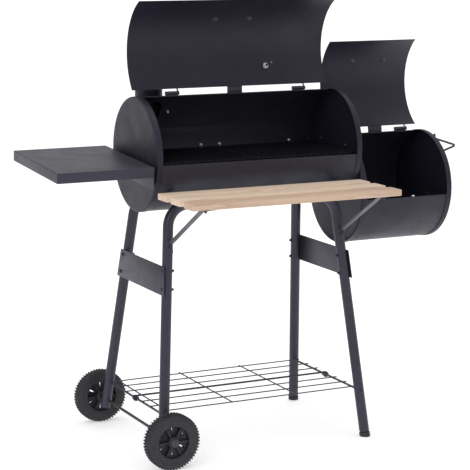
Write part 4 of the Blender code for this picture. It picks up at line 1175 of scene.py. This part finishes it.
def axle():
    low, high, mid = box_of("axle")
    bm = bmesh.new()
    r = (high.z - low.z) / 2
    turn = Matrix.Translation((mid.x, low.y, mid.z)) @ Matrix.Rotation(
        math.radians(-90.0), 4, "X")
    length = high.y - low.y
    lathe(bm, [(0.0, 0.0), (r * 0.72, 0.0), (r, r * 0.35), (r, length - r * 0.35),
               (r * 0.72, length), (0.0, length)], 32, turn)
    for start, sign in ((low.y + 0.0022, 1.0), (high.y - 0.0022, -1.0)):
        place = Matrix.Translation((mid.x, start, mid.z)) @ Matrix.Rotation(
            math.radians(-90.0 * sign), 4, "X")
        lathe(bm, [(r + 0.00005, 0.0), (0.0068, 0.0004), (0.0074, 0.0012),
                   (0.0074, 0.0020), (r + 0.00005, 0.0020)], 32, place, ring=True)
    piece("axle_detail", bm, "dull", ("axle",))
    washers = bmesh.new()
    wheel_half = 0.021
    for wheel in ("front_wheel", "rear_wheel"):
        y = box_of(wheel)[2].y
        for side in (-1.0, 1.0):
            place = Matrix.Translation((mid.x, y + side * (wheel_half + 0.0004), mid.z))
            place = place @ Matrix.Rotation(math.radians(-90.0 * side), 4, "X")
            lathe(washers, [(r + 0.0001, 0.0), (0.0090, 0.0), (0.0090, 0.0008),
                            (r + 0.0001, 0.0012)], 32, place, ring=True)
    piece("axle_washers", washers, "dull")


def wheel(node):
    """Moulded wheel: lugged tread, ribbed shoulders, hub, slit disc with ribs on each face."""
    low, high, mid = box_of(node)
    half, web = 0.017, 0.0040                    # half widths of the rim and the disc
    lug_top = (high.z - low.z) / 2
    base = lug_top - 0.0032
    place = Matrix.Translation(mid) @ Matrix.Rotation(math.radians(90.0), 4, "X")
    side = [(0.0043, half + 0.0040), (0.0105, half + 0.0040), (0.0125, half + 0.0030),
            (0.0132, half + 0.0010), (0.0150, half - 0.0010), (0.0158, web),
            (0.0385, web), (0.0402, web + 0.0010), (0.0412, half - 0.0020),
            (0.0424, half - 0.0006), (0.0440, half), (0.0475, half), (0.0482, half - 0.0007),
            (0.0496, half - 0.0007), (0.0503, half), (0.0560, half), (0.0567, half - 0.0008),
            (0.0582, half - 0.0008), (0.0589, half - 0.0001), (0.0640, half - 0.0006),
            (0.0675, half - 0.0022), (base - 0.0005, half - 0.0042), (base, half - 0.0060)]
    profile = side + [(r, -h) for r, h in side[::-1]]
    bm = bmesh.new()
    lathe(bm, profile, 112, place, ring=True)
    body = to_mesh(bm, "wheel_body")
    slots = bmesh.new()
    for i in range(6):
        centre = 60.0 * i + 30.0
        outline = arc(0.0372, centre - 4.0, centre + 4.0, 4.0)
        outline += arc(0.0205, centre + 3.0, centre - 3.0, 3.0)
        prism(slots, outline, "Z", -0.03, 0.03, place)
    body = combined(body, to_mesh(slots, "slots"))
    lugs = bmesh.new()
    count = 54
    for row, shift in ((-1.0, 0.0), (1.0, 0.5)):
        for k in range(count):
            turn = place @ Matrix.Rotation(2 * math.pi * (k + shift) / count, 4, "Z")
            z0, z1 = sorted((row * 0.0010, row * 0.0128))
            wide = 0.0022
            foot = [(base - 0.0012, -wide * 1.15), (base - 0.0012, wide * 1.15)]
            crown = [(lug_top, wide * 0.62), (lug_top, -wide * 0.62)]
            prism(lugs, foot + crown, "Z", z0, z1, turn)
            s0, s1 = sorted((row * 0.0124, row * 0.0158))
            prism(lugs, [(0.0655, -wide * 0.7), (0.0655, wide * 0.7),
                         (lug_top - 0.0016, wide * 0.7), (lug_top - 0.0016, -wide * 0.7)],
                  "Z", s0, s1, turn)
    soften(lugs, 0.00035, 1)
    ribs = bmesh.new()
    for face in (-1.0, 1.0):
        for i in range(6):
            turn = place @ Matrix.Rotation(math.radians(60.0 * i), 4, "Z")
            z0, z1 = sorted((face * (web - 0.0005), face * (half - 0.0022)))
            prism(ribs, [(0.0140, -0.0017), (0.0395, -0.0012), (0.0395, 0.0012),
                         (0.0140, 0.0017)], "Z", z0, z1, turn)
        for i in range(36):
            turn = place @ Matrix.Rotation(math.radians(10.0 * i + 5.0), 4, "Z")
            z0, z1 = sorted((face * (half - 0.0012), face * (half + 0.0003)))
            prism(ribs, [(0.0600, -0.0006), (0.0632, -0.0006), (0.0632, 0.0006),
                         (0.0600, 0.0006)], "Z", z0, z1, turn)
    soften(ribs, 0.0003, 2)
    mesh = joined((body, to_mesh(lugs, "lugs", 50.0), to_mesh(ribs, "ribs")), node)
    piece(node + "_detail", mesh, "wheel", (node,), body=node)


legs()
braces()
feet()
axle()
wheel("front_wheel")
wheel("rear_wheel")

# ---------------------------------------------------------------- low shelf


def low_shelf():
    left, right = leg_x("left", ROD_Z), leg_x("right", ROD_Z)
    rod_r = 0.003
    for side, x in (("left", left), ("right", right)):
        low, high, mid = box_of("shelf_rod_" + side)
        bm = bmesh.new()
        turn = Matrix.Translation((mid.x, low.y, mid.z)) @ Matrix.Rotation(
            math.radians(-90.0), 4, "X")
        length = high.y - low.y
        lathe(bm, [(0.0, 0.0), (rod_r * 0.7, 0.0), (rod_r, rod_r * 0.4),
                   (rod_r, length - rod_r * 0.4), (rod_r * 0.7, length), (0.0, length)],
              20, turn)
        for y, out in ((leg_y(-1.0, ROD_Z) - TUBE_R - 0.0002, -1.0),
                       (leg_y(1.0, ROD_Z) + TUBE_R + 0.0002, 1.0)):
            lathe(bm, [(rod_r + 0.0001, 0.0), (0.0055, 0.0), (0.0055, 0.0012),
                       (rod_r + 0.0001, 0.0016)], 6, facing((mid.x, y, mid.z), (0, out, 0)),
                  ring=True)
        piece(f"shelf_rod_{side}_detail", bm, "frame", ("shelf_rod_" + side,))
    wire, cross, thick = 0.0016, 0.0018, 0.0026
    z = ROD_Z + rod_r + GAP + wire
    ys = (-0.165, -0.110, -0.055, 0.055, 0.110, 0.165)
    bm = bmesh.new()
    for dy in ys:
        y = YC + dy
        sweep(bm, [(left - 0.005, y, z), (left + 0.004, y, z), (right - 0.004, y, z),
                   (right + 0.005, y, z)], wire, 12)
    hook = rod_r + GAP + thick
    path = [(left + a, YC, ROD_Z + b) for a, b in arc(hook, 300.0, 90.0, 15.0)]
    path += [(right + a, YC, ROD_Z + b) for a, b in arc(hook, 90.0, -120.0, 15.0)]
    sweep(bm, path, thick, 14)
    for dx in (-0.284, -0.098, 0.088, 0.262):
        x = XC + dx
        sweep(bm, [(x, YC + ys[0] - 0.006, z + wire * 0.9), (x, YC, z + wire * 0.9),
                   (x, YC + ys[-1] + 0.006, z + wire * 0.9)], cross, 12)
        for dy in ys:
            where = Vector((x, YC + dy, z + wire * 0.45))
            lathe(bm, [(0.0, 0.0022), (0.0016, 0.0017), (0.0024, 0.0), (0.0016, -0.0017),
                       (0.0, -0.0022)], 12, Matrix.Translation(where))
    piece("low_wire_shelf_detail", to_mesh(bm, "low_wire_shelf", 50.0), "frame",
          ("low_wire_shelf",))
    rings = bmesh.new()
    for x in (left, right):
        for dy in (-0.0075, 0.0075):
            ring = [(x + a, YC + dy, ROD_Z + b) for a, b in arc(0.0052, 0.0, 345.0, 15.0)]
            sweep(rings, ring, 0.0018, 10, loop=True)
    piece("low_wire_shelf_stops", to_mesh(rings, "shelf_stops", 50.0), "frame")


low_shelf()

# ---------------------------------------------------------------- grates


def grate(node, pitch, bar_r):
    """Round bars front to back, welded on cross rods, with a rod along each end."""
    low, high, mid = box_of(node)
    rod_r = 0.0024
    rod_z = low.z + rod_r
    bar_z = rod_z + rod_r * 0.8 + bar_r * 0.6
    bm = bmesh.new()
    count = int(round((high.x - low.x - 2 * bar_r) / pitch))
    for i in range(count + 1):
        x = low.x + bar_r + (high.x - low.x - 2 * bar_r) * i / count
        wide = rod_r if i in (0, count) else bar_r
        shift = random.uniform(-0.0004, 0.0004) if 0 < i < count else 0.0
        x = min(max(x + shift, low.x + wide), high.x - wide)
        sweep(bm, [(x, low.y, bar_z - 0.0002), (x, low.y + 0.0006, bar_z), (x, mid.y, bar_z),
                   (x, high.y - 0.0006, bar_z), (x, high.y, bar_z - 0.0002)], wide, 12)
    for y in (low.y + 0.012, mid.y, high.y - 0.012):
        sweep(bm, [(low.x, y, rod_z), (mid.x, y, rod_z), (high.x, y, rod_z)], rod_r, 12)
    return piece(node + "_detail", to_mesh(bm, node, 50.0), "grate", (node,), body=node)


grate("cooking_grate_left", 0.0125, 0.0019)
grate("cooking_grate_right", 0.0125, 0.0019)
grate("charcoal_grate", 0.0170, 0.0019)
refined("grate_rail_front", "drum", 0.0003)
refined("grate_rail_rear", "drum", 0.0003)

# ---------------------------------------------------------------- the other fixings


def body_fixings():
    wall = SHELL_R - SHELL_T
    rail = [radial(XC + dx, wall, RAIL_TH, MAIN_Z, True) for dx in RAIL_DX]
    fixings("rail_nuts", SMALL_NUT, rail, "zinc")
    fixings("rail_screws", SCREW,
            [radial(XC + dx, SHELL_R, RAIL_TH, MAIN_Z) for dx in RAIL_DX],
            "zinc")
    side = Vector((-1.0, 0.0, 0.0))
    inner = MAIN_X1 - CAP_T
    fixings("cap_joint_nuts", SMALL_NUT,
            [(Vector((inner, YC + dy, z)), side) for dy, z in CAP_JOINTS], "frame")
    fixings("cap_joint_screws", SCREW,
            [(Vector((FIRE_X0 + CAP_T, YC + dy, z)), -side) for dy, z in CAP_JOINTS], "frame")
    lip = radial(XC + LIP_NUT[0], SHELL_R - SHELL_T - 0.0012, LIP_NUT[1], FIRE_Z, True)
    fixings("firebox_lip_nut", SMALL_NUT, [lip], "zinc")
    under = []
    nuts = []
    for sign in (-1.0, 1.0):
        for dx in DRUM_BOLT_DX:
            y, z = leg_y(sign, LEG_TOP_Z), LEG_TOP_Z
            out = Vector((0.0, y - YC, z - MAIN_Z)).normalized()
            under.append((Vector((XC + dx, y, z)) + out * TUBE_R, out))
            theta = math.degrees(math.atan2(z - MAIN_Z, y - YC))
            nuts.append(radial(XC + dx, wall, theta, MAIN_Z, True))
    fixings("drum_bolts", SCREW, under, "frame")
    fixings("drum_bolt_nuts", SMALL_NUT, nuts, "zinc")


body_fixings()

# ---------------------------------------------------------------- stage, light, camera


def stage():
    bm = bmesh.new()
    lathe(bm, [(0.0, 0.0), (3.0, 0.0), (10.0, 0.0), (60.0, 0.0), (60.0, -0.05),
               (0.0, -0.05)], 96)
    mesh = to_mesh(bm, "floor")
    floor = bpy.data.objects.new("studio_floor", mesh)
    bpy.context.scene.collection.objects.link(floor)
    n = Nodes("studio_floor")
    shade = n.ramp(n.noise(3.0, 3.0), ((0.3, (0.925, 0.925, 0.93)), (0.7, (0.94, 0.94, 0.945))))
    # a lit white sweep: it glows a little, so the undersides get light as well
    mesh.materials.append(n.done(shade, n.span(n.noise(20.0), 0.75, 0.85), None,
                                 Emission_Color=(1.0, 1.0, 1.0),
                                 Emission_Strength=0.38))


def area(name, where, towards, size, energy):
    light = bpy.data.lights.new(name, "AREA")
    light.shape = "DISK"
    light.size = size
    light.energy = energy
    obj = bpy.data.objects.new(name, light)
    bpy.context.scene.collection.objects.link(obj)
    obj.location = where
    obj.rotation_euler = (Vector(towards) - Vector(where)).to_track_quat("-Z", "Y").to_euler()


def lighting():
    world = bpy.data.worlds.new("studio")
    bpy.context.scene.world = world
    world.use_nodes = True
    tree = world.node_tree
    plain = tree.nodes["Background"]
    plain.inputs["Color"].default_value = (1.0, 1.0, 1.0, 1.0)
    plain.inputs["Strength"].default_value = 1.0
    # soft box overhead: less light near the horizon than from straight above
    graded = tree.nodes.new("ShaderNodeBackground")
    direction = tree.nodes.new("ShaderNodeTexCoord")
    split = tree.nodes.new("ShaderNodeSeparateXYZ")
    grade = tree.nodes.new("ShaderNodeMapRange")
    grade.inputs["To Min"].default_value = 0.66
    grade.inputs["To Max"].default_value = 1.20
    seen = tree.nodes.new("ShaderNodeLightPath")
    either = tree.nodes.new("ShaderNodeMixShader")
    tree.links.new(direction.outputs["Generated"], split.inputs[0])
    tree.links.new(split.outputs["Z"], grade.inputs["Value"])
    tree.links.new(grade.outputs["Result"], graded.inputs["Strength"])
    tree.links.new(seen.outputs["Is Camera Ray"], either.inputs[0])
    tree.links.new(graded.outputs[0], either.inputs[1])
    tree.links.new(plain.outputs[0], either.inputs[2])
    tree.links.new(either.outputs[0], tree.nodes["World Output"].inputs["Surface"])
    area("key", (-2.6, -2.2, 3.0), (0.0, 0.0, 0.7), 1.8, 22.0)
    area("top", (0.2, 0.3, 3.6), (0.0, 0.0, 0.6), 2.4, 16.0)


def camera():
    data = bpy.data.cameras.new("camera")
    data.sensor_width = 36.0
    data.lens = 131.1
    cam = bpy.data.objects.new("camera", data)
    bpy.context.scene.collection.objects.link(cam)
    cam.location = (-2.0326, -4.0180, 1.3326)
    cam.rotation_euler = (math.radians(80.094), 0.0, math.radians(-25.948))
    data.clip_start, data.clip_end = 0.1, 200.0
    bpy.context.scene.camera = cam


stage()
lighting()
camera()
bpy.context.scene.view_settings.view_transform = "Standard"
